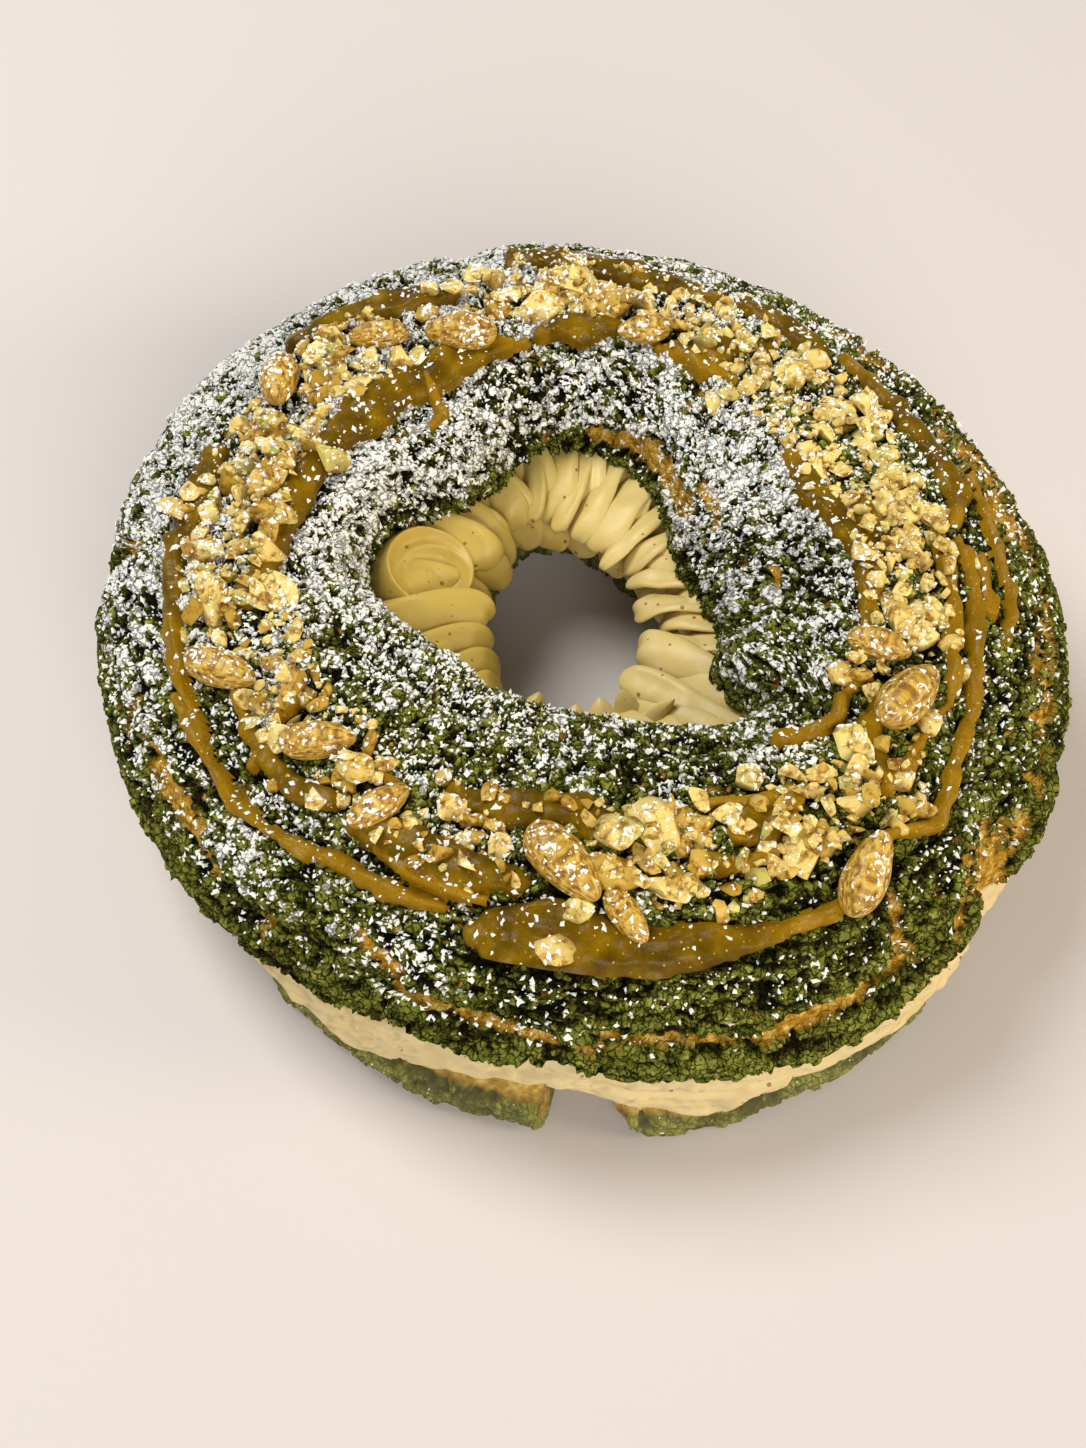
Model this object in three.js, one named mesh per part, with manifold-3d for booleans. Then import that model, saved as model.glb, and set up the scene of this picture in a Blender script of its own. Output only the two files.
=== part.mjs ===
// A pistachio paris-brest: a ring of choux pastry split in two and filled with piped
// pistachio cream. The upper half, the crown, has a cracked green biscuit crust, streaks of
// pistachio praline and a band of chopped pistachios. Twelve whole kernels lie on it.
// Millimetres and degrees, +Z up. The ring lies on Z = 0 round the Z axis, and azimuth 0 is +X.
// The front, with the gap in the base, is at azimuth -90.
import * as THREE from "three";
import { mergeVertices } from "three/addons/utils/BufferGeometryUtils.js";
import Module from "manifold-3d";

const wasm = await Module();
wasm.setup();

// Driving dimensions of the ring.
const RING_CENTRE = [-1.04, 0.41]; // puts the middle of the whole outline on the Z axis
const OUTER_RADIUS = 100.5;
const OVAL = { amount: 3.3, azimuth: -43 }; // the ring is a little longer this way
const LEAN = { amount: 1.2, azimuth: 142 }; // and a little fuller on this side
const TOP_HEIGHT = 60;
const GAP = 0.3; // between pieces that rest on each other
const CROWN_GAP = 0.5; // under the crown, whose cut face isn't quite flat
const SLIVER = 0.03; // edges shorter than this are closed up

// Radius of the holes at a few azimuths, with smooth turns between them.
const CROWN_HOLE = [
  [168, 45.5], [127, 36], [98, 43.5], [24, 22], [-30, 30], [-43, 44.5], [-95, 29.5], [-140, 31],
];
const CREAM_HOLE = [
  [180, 20], [145, 25], [108, 30], [94, 29], [76, 21], [40, 15], [15, 18], [-35, 12], [-70, 16],
];
const BASE_HOLE = [[143, 29], [99, 45], [68, 34], [20, 24], [-60, 21], [-120, 24], [180, 27]];

// Height of the edges that show round the outside, at a few azimuths.
const CROWN_EDGE = [
  [180, 28], [-160, 23.5], [-138, 22.5], [-124, 28], [-115, 30.5], [-96, 33], [-82, 28.5], [-65, 21],
  [-48, 27.5], [-32, 27], [-12, 28], [0, 30],
];
const CREAM_EDGE = [
  [180, 17], [-132, 17], [-119, 10], [-106, 18], [-94, 22], [-75, 6], [-64, 12], [-55, 9], [-42, 17],
];

// How far the base stays inside the crown's outer edge at a few azimuths, and how far the crown
// hangs out over the cream.
const BASE_INSET = [
  [180, 3], [-150, 6], [-137, 6], [-127, 3.4], [-108, 0.4], [-80, -0.8], [-60, 1],
  [-48, 2.2], [-37, 7], [-22, 6], [0, 3.5],
];
const CREAM_INSET = [
  [180, 0], [-165, 1.5], [-150, 2.4], [-137, 2.4], [-127, 0.6], [-118, 0], [-48, 0], [-38, 0.8],
  [-30, 2.4], [-20, 1.2], [-5, 0],
];

// The crown's section is an arch over its cut face, which rises towards the hole.
const CROWN = {
  innerEdge: 38,
  roundness: 2.5, // exponent of the arch: 2 is an ellipse, and more is boxier
  furrow: { depth: 1.7, width: 7 }, // creases between the piped rings, width in degrees of the arch
  crag: 0.45, // relief of the broken crust
  slices: 72,
  cutSteps: 3,
};
const FURROWS = [24, 64, 121]; // where the creases run, in degrees of the arch from its outer edge
const SPAN_STEPS = [3, 4, 5, 5]; // from the outer edge to the first crease, on to the next, and so on
// Dents in the outer edge where the crust broke away: azimuth, depth and half width.
const NICKS = [
  { azimuth: 175, depth: 5, halfWidth: 2.4 },
  { azimuth: 106, depth: 4, halfWidth: 2.2 },
  { azimuth: -38, depth: 3.5, halfWidth: 4 },
  { azimuth: -20, depth: 2, halfWidth: 2 },
];

// The cream hangs over the base outside and swells into the hole as a rope of slanting petals.
const CREAM = {
  skin: 1, // inside the crown's outer edge
  skirt: 4.6, // thickness where it hangs down outside the base
  petals: 28,
  petalDepth: 4.4,
  petalSlant: 1.1, // how far a petal leans round the ring over its height, in petals
  petalSteps: 4,
  bellyHeight: 24,
  ropeSteps: 6,
};
// The biggest petal is a rosette: a rope coiled round and leaning into the hole.
const ROSETTE = {
  azimuth: 159,
  radius: 33.5,
  height: 34,
  lean: 22, // degrees
  turns: 1.2,
  coil: [7.6, 2.6], // radius of the coil at its start and its end
  rope: [2, 1.5], // and of the rope itself
};

const BASE = {
  height: 16.7,
  crustHeight: 8, // the green crust shows below this, and bare choux above
  crustDrop: 2, // below the hanging cream
  chouxInset: 6.2, // inside the crown's outer edge
  crag: 0.8,
  slices: 64,
};
// The base is open at the front, where its broken ends don't meet.
const BASE_GAP = { azimuth: -91, halfWidth: 8.5, depth: 17 };

// Streaks of praline on the crown: azimuth, arch angle and half width along each one.
const STREAKS = [
  [[-104, 58, 5], [-94, 60, 7], [-84, 60, 6], [-72, 61, 3.6], [-58, 62, 2]],
  [[-114, 92, 2.4], [-105, 92, 3.6], [-93, 93, 4], [-80, 91, 2.6]],
  [[-126, 76, 2.6], [-118, 77, 4.4], [-109, 77, 4.6], [-99, 77, 2.6]],
  [[-160, 61, 2], [-150, 59, 2.2], [-138, 57, 2.2], [-128, 60, 2]],
  [[160, 84, 3], [170, 84, 4.8], [179, 79, 2.6]],
  [[134, 108, 4.6], [152, 114, 3.6], [168, 116, 3], [191, 94, 2.6]],
  [[101, 118, 2], [116, 113, 3.6], [132, 108, 5.4]],
  [[138, 73, 3.8], [128, 74, 3.4], [118, 81, 4.2], [111, 87, 2.4]],
  [[100, 75, 3.4], [89, 80, 4.2], [79, 82, 3.8], [67, 80, 2.6]],
  [[99, 112, 2.4], [92, 110, 4], [82, 107, 2.8]],
  [[64, 77, 3], [55, 74, 4.6], [46, 74, 2.8]],
  [[38, 69, 2.2], [23, 68, 2.6], [7, 72, 2.2]],
  [[31, 104, 2], [18, 103, 3.4], [-2, 99, 2.4]],
  [[6, 74, 1.9], [-12, 74, 2.2], [-28, 69, 2], [-46, 66, 2.2]],
];
const STREAK = { height: 1.6, sink: 2, sides: 5, stepLength: 5 }; // a step every few degrees

// Whole kernels: azimuth, arch angle, length, and the heading of the long axis from the ring's
// own direction, turning outwards.
const KERNELS = [
  [115, 104, 17, 33], [128, 90, 13, 35], [146, 86, 15.5, -37], [77, 107, 12.5, -26],
  [-94, 82.5, 18, 44], [-85.6, 70, 11, 54], [-55, 68, 17, -37], [-31, 87, 18.5, 20],
  [-24, 95, 13, 83], [-138, 87, 15, -46], [-123, 83, 12.5, -64], [-158, 80, 15, -34],
];
const KERNEL = { breadth: 0.5, thickness: 0.44, sunk: 0.3 };

// Chopped nuts, scattered along a band that wanders over the crown: azimuth and arch angle.
const NUT_BAND = [[165, 93], [120, 93], [60, 84], [15, 82], [-30, 88], [-62, 84], [-95, 78], [-150, 84]];
const CHIPS = { count: 62, largest: 8, smallest: 3.4, bandHalfWidth: 17, seed: 20 };

const radians = THREE.MathUtils.degToRad;

// The same draws in every run.
function seeded(seed) {
  let state = seed;
  return () => {
    state = (state * 48271) % 2147483647;
    return state / 2147483647;
  };
}

// Value at an azimuth of a table of [azimuth, value] round the ring, eased between its rows.
function roundTable(table, azimuth) {
  const rows = [...table].sort((a, b) => a[0] - b[0]);
  const turn = THREE.MathUtils.euclideanModulo(azimuth + 180, 360) - 180;
  const wrapped = [
    [rows.at(-1)[0] - 360, rows.at(-1)[1]],
    ...rows,
    [rows[0][0] + 360, rows[0][1]],
  ];
  const next = wrapped.findIndex((row) => row[0] > turn);
  const [from, to] = [wrapped[next - 1], wrapped[next]];
  const share = THREE.MathUtils.smoothstep(turn, from[0], to[0]);
  return THREE.MathUtils.lerp(from[1], to[1], share);
}

// Degrees from one azimuth to another, the short way round.
function turnBetween(a, b) {
  return THREE.MathUtils.euclideanModulo(a - b + 180, 360) - 180;
}

function outerRadius(azimuth) {
  const oval = OVAL.amount * Math.cos(2 * radians(azimuth - OVAL.azimuth));
  const lean = LEAN.amount * Math.cos(radians(azimuth - LEAN.azimuth));
  return OUTER_RADIUS + oval + lean;
}

// How far the crown's outer edge is dented at an azimuth.
function nickDepth(azimuth) {
  return NICKS.reduce((deepest, nick) => {
    const away = turnBetween(azimuth, nick.azimuth) / nick.halfWidth;
    return Math.max(deepest, nick.depth * Math.exp(-away * away));
  }, 0);
}

const crownHole = (azimuth) => roundTable(CROWN_HOLE, azimuth);
const creamHole = (azimuth) => roundTable(CREAM_HOLE, azimuth);
const baseHole = (azimuth) => roundTable(BASE_HOLE, azimuth);
const crownEdge = (azimuth) => roundTable(CROWN_EDGE, azimuth);
const creamEdge = (azimuth) => roundTable(CREAM_EDGE, azimuth);

// Low waves that keep the crust from looking turned on a lathe.
function waviness(azimuth, arch) {
  const a = radians(azimuth);
  return Math.sin(5 * a + arch / 30) + Math.sin(11 * a - arch / 17) + 0.6 * Math.sin(17 * a + arch / 9);
}

const power = (value, exponent) => Math.sign(value) * Math.abs(value) ** exponent;

// Radius and height on the crown's smooth arch: arch is 0 at the outer edge and 180 at the hole.
function smoothArch(azimuth, arch) {
  const outer = outerRadius(azimuth) - nickDepth(azimuth) * Math.cos(radians(Math.min(arch, 90))) ** 2;
  const inner = crownHole(azimuth);
  const across = power(Math.cos(radians(arch)), 2 / CROWN.roundness);
  const up = power(Math.sin(radians(arch)), 2 / CROWN.roundness);
  const edge = THREE.MathUtils.lerp(CROWN.innerEdge, crownEdge(azimuth), (across + 1) / 2);
  const rise = TOP_HEIGHT - (crownEdge(azimuth) + CROWN.innerEdge) / 2;
  return new THREE.Vector2((outer + inner) / 2 + (across * (outer - inner)) / 2, edge + rise * up);
}

// The same with the creases and the low waves of the crust.
function creasedArch(azimuth, arch) {
  const crease = FURROWS.reduce((sum, at) => {
    const away = (arch - at) / CROWN.furrow.width;
    return sum + CROWN.furrow.depth * Math.exp(-away * away);
  }, 0);
  const smooth = smoothArch(azimuth, arch);
  const middle = (outerRadius(azimuth) + crownHole(azimuth)) / 2;
  const inwards = new THREE.Vector2(middle, crownEdge(azimuth)).sub(smooth).normalize();
  return smooth.addScaledVector(inwards, crease - 0.25 * waviness(azimuth, arch) * Math.sin(radians(arch)));
}

// Height of the crown's cut face at a radius.
function cutHeight(azimuth, radius) {
  const [inner, outer] = [crownHole(azimuth), outerRadius(azimuth)];
  const share = THREE.MathUtils.clamp((radius - inner) / (outer - inner), 0, 1);
  return THREE.MathUtils.lerp(CROWN.innerEdge, crownEdge(azimuth), share);
}

function aroundRing(azimuth, radius, height) {
  const a = radians(azimuth);
  return new THREE.Vector3(radius * Math.cos(a), radius * Math.sin(a), height);
}

const onCrown = (azimuth, arch) => {
  const { x, y } = smoothArch(azimuth, arch);
  return aroundRing(azimuth, x, y);
};

// Axes on the crown's surface: along the ring, across it towards the hole, and outwards.
function crownAxes(azimuth, arch) {
  const step = 1.5;
  const along = onCrown(azimuth + step, arch).sub(onCrown(azimuth - step, arch)).normalize();
  const across = onCrown(azimuth, arch + step).sub(onCrown(azimuth, arch - step));
  const archLength = across.length() / (2 * step); // millimetres for each degree of the arch
  const out = across.clone().cross(along).negate().normalize();
  return { along, across: across.normalize(), out, archLength };
}

// A point this far across the crown's surface from a place on it, and this high over it.
function drape(azimuth, arch, across, height) {
  const there = arch + across / crownAxes(azimuth, arch).archLength;
  return onCrown(azimuth, there).addScaledVector(crownAxes(azimuth, there).out, height);
}

// A closed ring from one loop of points for each slice. section(azimuth, slice) gives the loop
// as [radius, height], going round so that the faces point out.
function ringGeometry(slices, section) {
  const loops = Array.from({ length: slices }, (_, i) => section((360 * i) / slices, i));
  const sides = loops[0].length;
  const positions = loops.flatMap((loop, i) =>
    loop.flatMap(([radius, height]) => aroundRing((360 * i) / slices, radius, height).toArray()),
  );
  const index = [];
  for (let i = 0; i < slices; i++) {
    for (let j = 0; j < sides; j++) {
      const [a, b] = [i * sides + j, i * sides + ((j + 1) % sides)];
      const [c, d] = [((i + 1) % slices) * sides + j, ((i + 1) % slices) * sides + ((j + 1) % sides)];
      index.push(a, c, b, b, c, d);
    }
  }
  const geometry = new THREE.BufferGeometry();
  geometry.setAttribute("position", new THREE.Float32BufferAttribute(positions, 3));
  geometry.setIndex(index);
  return geometry;
}

// Moves each corner of a geometry by a function of where it is.
function reshape(geometry, move) {
  const bare = new THREE.BufferGeometry();
  bare.setAttribute("position", geometry.getAttribute("position"));
  bare.setIndex(geometry.index);
  const merged = mergeVertices(bare, 1e-4);
  const position = merged.getAttribute("position");
  const corner = new THREE.Vector3();
  for (let i = 0; i < position.count; i++) {
    corner.fromBufferAttribute(position, i);
    position.setXYZ(i, ...move(corner.clone(), i).toArray());
  }
  return merged;
}

function toSolid(geometry) {
  const merged = mergeVertices(geometry, 1e-4);
  return new wasm.Manifold(
    new wasm.Mesh({
      numProp: 3,
      vertProperties: new Float32Array(merged.getAttribute("position").array),
      triVerts: new Uint32Array(merged.index.array),
    }),
  );
}

function toGeometry(solid) {
  const { vertProperties, triVerts } = solid.getMesh();
  const geometry = new THREE.BufferGeometry();
  geometry.setAttribute("position", new THREE.BufferAttribute(vertProperties, 3));
  geometry.setIndex(new THREE.BufferAttribute(triVerts, 1));
  return geometry;
}

// The largest body of a solid, without slivers: loose scraps go, and sealed hollows are filled.
function largestBody(solid) {
  const bodies = solid.simplify(SLIVER).decompose();
  return bodies.reduce((a, b) => (b.volume() > a.volume() ? b : a));
}

// The bare crown: the arch with its furrows and crags, and the cut face under it.
function crownCore() {
  const random = seeded(7);
  const stops = [0, ...FURROWS, 180];
  const arches = SPAN_STEPS.flatMap((steps, span) =>
    Array.from({ length: steps }, (_, k) => THREE.MathUtils.lerp(stops[span], stops[span + 1], k / steps)),
  );
  arches.push(180);
  return ringGeometry(CROWN.slices, (azimuth) => {
    const loop = arches.map((arch) => {
      const { x, y } = creasedArch(azimuth, arch);
      const crag = CROWN.crag * (2 * random() - 1);
      return [x + crag * Math.cos(radians(arch)), y + crag * Math.sin(radians(arch))];
    });
    const [first, last] = [loop[0], loop.at(-1)];
    for (let j = 1; j < CROWN.cutSteps; j++) {
      const radius = THREE.MathUtils.lerp(last[0], first[0], j / CROWN.cutSteps);
      loop.push([radius, cutHeight(azimuth, radius)]);
    }
    return loop;
  });
}

// A streak of praline: a long drop laid over the crown, clockwise so that its faces point out.
function streak(points) {
  const clockwise = [...points].sort((a, b) => b[0] - a[0]);
  const spine = new THREE.CatmullRomCurve3(clockwise.map((point) => new THREE.Vector3(...point)));
  const turn = clockwise[0][0] - clockwise.at(-1)[0];
  const steps = Math.max(5, Math.round(turn / STREAK.stepLength));
  return reshape(new THREE.SphereGeometry(1, STREAK.sides, steps), ({ x, y, z }) => {
    const share = Math.acos(THREE.MathUtils.clamp(y, -1, 1)) / Math.PI;
    const girth = Math.max(Math.hypot(x, z), 1e-6);
    const { x: azimuth, y: arch, z: halfWidth } = spine.getPoint(share);
    const taper = Math.sin(Math.PI * share) ** 0.5;
    const lift = (z > 0 ? STREAK.height : STREAK.sink) * (z / girth);
    return drape(azimuth, arch, (-x / girth) * halfWidth * taper, lift * taper);
  });
}

// Places a small shape on the crown: local X runs along the heading and local Z away from it.
function placeOnCrown(azimuth, arch, heading, height) {
  const { along, across, out } = crownAxes(azimuth, arch);
  const turn = radians(heading);
  const x = along.clone().multiplyScalar(Math.cos(turn)).addScaledVector(across, -Math.sin(turn));
  const y = out.clone().cross(x).normalize();
  return new THREE.Matrix4().makeBasis(x, y, out).setPosition(drape(azimuth, arch, 0, height));
}

// A whole kernel: an egg-shaped almond form with a blunt and a pointed end and a low keel.
function kernelGeometry(length, swell = 0) {
  const [a, b, c] = [length / 2, (length * KERNEL.breadth) / 2, (length * KERNEL.thickness) / 2];
  return reshape(new THREE.SphereGeometry(1, 8, 6).rotateZ(Math.PI / 2), ({ x, y, z }) => {
    const point = 1 - 0.16 * x;
    const keel = z > 0.6 ? 1.08 : 1;
    return new THREE.Vector3(x * (a + swell), y * point * (b + swell), z * point * keel * (c + swell));
  });
}

function kernelPlace([azimuth, arch, length, heading]) {
  const halfThickness = (length * KERNEL.thickness) / 2;
  return placeOnCrown(azimuth, arch, heading, halfThickness * (1 - KERNEL.sunk));
}

// Where the chopped nuts lie, the largest first, clear of each other and of the kernels.
function scatterChips() {
  const random = seeded(CHIPS.seed);
  const placed = [];
  const kernels = KERNELS.map(([azimuth, arch, length]) => ({
    at: onCrown(azimuth, arch),
    radius: 0.46 * length,
  }));
  for (let tries = 0; placed.length < CHIPS.count && tries < 6000; tries++) {
    const rank = placed.length / CHIPS.count;
    const size = THREE.MathUtils.lerp(CHIPS.largest, CHIPS.smallest, rank ** 0.6);
    const azimuth = 360 * random() - 180;
    const spread = (random() + random() - 1) * CHIPS.bandHalfWidth;
    const arch = roundTable(NUT_BAND, azimuth) + spread;
    const [heading, lean] = [360 * random(), random()];
    const at = onCrown(azimuth, arch);
    const free = (other) => at.distanceTo(other.at) > 0.5 * size + other.radius;
    if (placed.every(free) && kernels.every(free)) {
      placed.push({ azimuth, arch, heading, lean, size, at, radius: 0.4 * size });
    }
  }
  return placed;
}

// A chopped nut: an uneven lump with a few flat faces.
function chipGeometry({ azimuth, arch, heading, lean, size }, number) {
  const random = seeded(900 + number);
  const place = placeOnCrown(azimuth, arch, heading, 0.1 * size - CROWN.furrow.depth / 3);
  const stretch = [0.55 + 0.12 * random(), 0.36 + 0.1 * random(), 0.3 + 0.1 * random()];
  return reshape(new THREE.IcosahedronGeometry(1, 0), (corner) => {
    const rough = 0.82 + 0.36 * random();
    corner.multiplyScalar(rough).multiply(new THREE.Vector3(...stretch).multiplyScalar(size));
    return corner.applyAxisAngle(new THREE.Vector3(0, 1, 0), 0.7 * (lean - 0.5)).applyMatrix4(place);
  });
}

// The crown with its praline and chopped nuts fused on, and a seat for each whole kernel.
function crownGeometry() {
  const toppings = [...STREAKS.map(streak), ...scatterChips().map(chipGeometry)];
  const fused = toppings.reduce((sum, geometry) => sum.add(toSolid(geometry)), toSolid(crownCore()));
  const seated = KERNELS.reduce((rest, kernel) => {
    const seat = kernelGeometry(kernel[2], GAP).applyMatrix4(kernelPlace(kernel));
    return rest.subtract(toSolid(seat));
  }, fused);
  return toGeometry(largestBody(seated));
}

// The cream: a band that shows at the outer side, and a rope of petals that lines the hole.
function creamGeometry() {
  const ring = ringGeometry(CREAM.petals * CREAM.petalSteps, (azimuth) => {
    const back = outerRadius(azimuth) - CREAM.skin - CREAM.skirt;
    const inset = CREAM.skin + roundTable(CREAM_INSET, azimuth);
    const outer = outerRadius(azimuth) - inset - 0.6 * nickDepth(azimuth);
    const [floor, edge] = [BASE.height + GAP, creamEdge(azimuth)];
    const top = crownEdge(azimuth) - 2 * CROWN_GAP;
    const bulge = 0.3 * waviness(azimuth, 40);
    const band = [
      [back - 1, floor],
      [back, Math.min(edge + 1, floor - 0.8)],
      [outer - 1 + bulge, edge],
      [outer + bulge, (edge + top) / 2],
      [outer - 0.8, top],
    ];
    return [...band, ...petalSection(azimuth, floor)];
  });
  return toGeometry(largestBody(toSolid(ring).add(toSolid(rosetteGeometry()))));
}

// One slice through the rope of petals, from under the crown's inner edge down to the base.
function petalSection(azimuth, floor) {
  const tucked = crownHole(azimuth) + 1.5;
  const reach = tucked - creamHole(azimuth);
  const foot = Math.max(baseHole(azimuth) + 1, creamHole(azimuth) + 3);
  const roof = cutHeight(azimuth, tucked) - CROWN_GAP;
  const section = [];
  for (let k = 0; k <= CREAM.ropeSteps; k++) {
    const share = k / CREAM.ropeSteps;
    const turn = radians(THREE.MathUtils.lerp(90, -50, share));
    const half = turn > 0 ? roof - CREAM.bellyHeight : (CREAM.bellyHeight - floor) / Math.sin(radians(50));
    const uneven = 0.5 * Math.sin(3 * radians(azimuth)) + 0.3 * Math.sin(7 * radians(azimuth));
    const phase = (CREAM.petals * azimuth) / 360 + uneven - CREAM.petalSlant * share;
    const petal = Math.sin(Math.PI * THREE.MathUtils.euclideanModulo(phase, 1) ** 0.7);
    const back = turn > 0 ? tucked : THREE.MathUtils.lerp(tucked, foot + 0.36 * reach, -Math.sin(turn));
    const fold = CREAM.petalDepth * (1 - petal) * Math.sin(Math.PI * Math.min(1, 0.1 + share)) ** 0.5;
    const dip = turn > 0 ? fold : 0;
    const radius = back - (reach - fold) * Math.cos(turn);
    section.push([radius, CREAM.bellyHeight + (half - dip) * Math.sin(turn)]);
  }
  return section;
}

// The rosette's rope, thickest where it starts outside.
function rosetteGeometry() {
  const [steps, sides] = [16, 6];
  const out = aroundRing(ROSETTE.azimuth, 1, 0);
  const up = new THREE.Vector3(0, 0, 1);
  const along = up.clone().cross(out);
  const uphill = out.clone().applyAxisAngle(along, -radians(ROSETTE.lean));
  const facing = uphill.clone().cross(along);
  const middle = aroundRing(ROSETTE.azimuth, ROSETTE.radius, ROSETTE.height);
  const positions = [];
  const index = [];
  for (let i = 0; i <= steps; i++) {
    const share = i / steps;
    const turn = 2 * Math.PI * ROSETTE.turns * share;
    const coil = THREE.MathUtils.lerp(...ROSETTE.coil, share);
    const rope = THREE.MathUtils.lerp(...ROSETTE.rope, share);
    for (let j = 0; j < sides; j++) {
      const around = (2 * Math.PI * j) / sides;
      const reach = coil + rope * Math.cos(around);
      const corner = middle.clone().addScaledVector(uphill, reach * Math.cos(turn));
      corner.addScaledVector(along, reach * Math.sin(turn));
      corner.addScaledVector(facing, rope * Math.sin(around));
      positions.push(...corner.toArray());
      if (i < steps) {
        const [a, b] = [i * sides + j, i * sides + ((j + 1) % sides)];
        index.push(a, a + sides, b, b, a + sides, b + sides);
      }
    }
  }
  for (let j = 1; j < sides - 1; j++) {
    index.push(0, j, j + 1, steps * sides, steps * sides + j + 1, steps * sides + j);
  }
  const geometry = new THREE.BufferGeometry();
  geometry.setAttribute("position", new THREE.Float32BufferAttribute(positions, 3));
  geometry.setIndex(index);
  return geometry;
}

// The lower half: a low ring of choux with a green crust round its foot.
function baseGeometry() {
  const random = seeded(31);
  const ring = ringGeometry(BASE.slices, (azimuth) => {
    const crag = () => BASE.crag * (2 * random() - 1);
    const crust = outerRadius(azimuth) - roundTable(BASE_INSET, azimuth);
    const crustTop = Math.min(BASE.crustHeight, creamEdge(azimuth) - BASE.crustDrop);
    const choux = outerRadius(azimuth) - BASE.chouxInset;
    const hole = baseHole(azimuth);
    return [
      [hole + 2, 0],
      [crust - 3, 0],
      [crust - 0.6 + crag(), 0.3 * crustTop],
      [crust - 0.4 + crag(), 0.7 * crustTop],
      [choux, crustTop],
      [choux - 0.3, BASE.height - 3],
      [choux - 1.6, BASE.height],
      [hole + 2, BASE.height],
      [hole, BASE.height - 5],
      [hole, 4],
    ];
  });
  return toGeometry(largestBody(toSolid(ring).subtract(toSolid(baseGapGeometry()))));
}

// The ragged wedge that is missing from the base.
function baseGapGeometry() {
  const outer = outerRadius(BASE_GAP.azimuth);
  const { halfWidth, depth } = BASE_GAP;
  const outline = new THREE.Shape();
  outline.moveTo(outer + 10, -halfWidth - 3);
  outline.lineTo(outer + 10, halfWidth + 2);
  outline.lineTo(outer - 2, halfWidth);
  outline.lineTo(outer - 0.4 * depth, halfWidth - 2);
  outline.lineTo(outer - 0.8 * depth, halfWidth - 3);
  outline.lineTo(outer - depth, 1);
  outline.lineTo(outer - 0.8 * depth, -halfWidth + 4);
  outline.lineTo(outer - 0.3 * depth, -halfWidth + 1);
  const wedge = new THREE.ExtrudeGeometry(outline, { depth: BASE.height + 10, bevelEnabled: false });
  wedge.translate(0, 0, -5).rotateZ(radians(BASE_GAP.azimuth));
  return reshape(wedge, (corner) => corner);
}

const pistachioCream = new THREE.MeshStandardMaterial({ color: 0xe3d39c, roughness: 0.45, metalness: 0 });
const greenCrust = new THREE.MeshStandardMaterial({ color: 0x3a4a22, roughness: 0.9, metalness: 0 });
const toppedCrust = new THREE.MeshStandardMaterial({ color: 0x4f5527, roughness: 0.85, metalness: 0 });
const kernelSkin = new THREE.MeshStandardMaterial({ color: 0xb8964a, roughness: 0.5, metalness: 0 });

const parisBrest = new THREE.Group();
function addPiece(name, geometry, material) {
  const mesh = new THREE.Mesh(geometry, material);
  mesh.name = name;
  parisBrest.add(mesh);
  return mesh;
}

addPiece("base", baseGeometry(), greenCrust);
addPiece("cream", creamGeometry(), pistachioCream);
addPiece("crown", crownGeometry(), toppedCrust);
KERNELS.forEach((kernel, i) => {
  const mesh = addPiece(`kernel_${i + 1}`, kernelGeometry(kernel[2]), kernelSkin);
  mesh.applyMatrix4(kernelPlace(kernel));
});
parisBrest.position.set(-RING_CENTRE[0], -RING_CENTRE[1], 0);

export default parisBrest;
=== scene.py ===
# A pistachio paris-brest: a cracked green crust with praline, chopped and whole pistachios and
# icing sugar, over piped pistachio cream and a low base of choux pastry.
# Sizes are in millimetres and degrees in the ring's own coordinates: azimuth 0 is +X and the front
# is at -90. The arch runs over the crown from 0 at its outer edge to 180 at the hole.
import itertools
import math

import bmesh
import bpy
import numpy as np
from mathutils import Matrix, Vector
from mathutils.bvhtree import BVHTree


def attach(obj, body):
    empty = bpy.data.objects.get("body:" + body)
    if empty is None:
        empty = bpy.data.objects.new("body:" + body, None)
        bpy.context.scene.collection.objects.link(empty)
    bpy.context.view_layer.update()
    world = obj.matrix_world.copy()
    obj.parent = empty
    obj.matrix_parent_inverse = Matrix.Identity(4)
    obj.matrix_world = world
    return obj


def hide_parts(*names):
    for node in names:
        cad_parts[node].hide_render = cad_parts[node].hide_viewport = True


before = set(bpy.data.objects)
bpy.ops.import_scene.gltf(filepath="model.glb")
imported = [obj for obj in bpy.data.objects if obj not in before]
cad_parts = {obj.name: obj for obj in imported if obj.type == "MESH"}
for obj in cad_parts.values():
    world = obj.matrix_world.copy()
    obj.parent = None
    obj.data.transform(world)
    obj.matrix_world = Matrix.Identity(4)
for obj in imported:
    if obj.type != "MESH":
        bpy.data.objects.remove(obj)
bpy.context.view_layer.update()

# The ring, as in the solids.
RING_CENTRE = (-1.04, 0.41, 0)
OUTER_RADIUS = 100.5
OVAL = (3.3, -43)  # how much longer the ring is one way, and that way's azimuth
LEAN = (1.2, 142)  # how much fuller it is on one side, and that side's azimuth
TOP_HEIGHT = 60
INNER_EDGE = 38  # height of the crown's cut face at the hole
ROUNDNESS = 2.5  # exponent of the crown's arch
FURROWS = (24, 64, 121)  # creases between the piped rings, in degrees of the arch
FURROW = (1.7, 7)  # their depth, and their width in degrees
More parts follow.
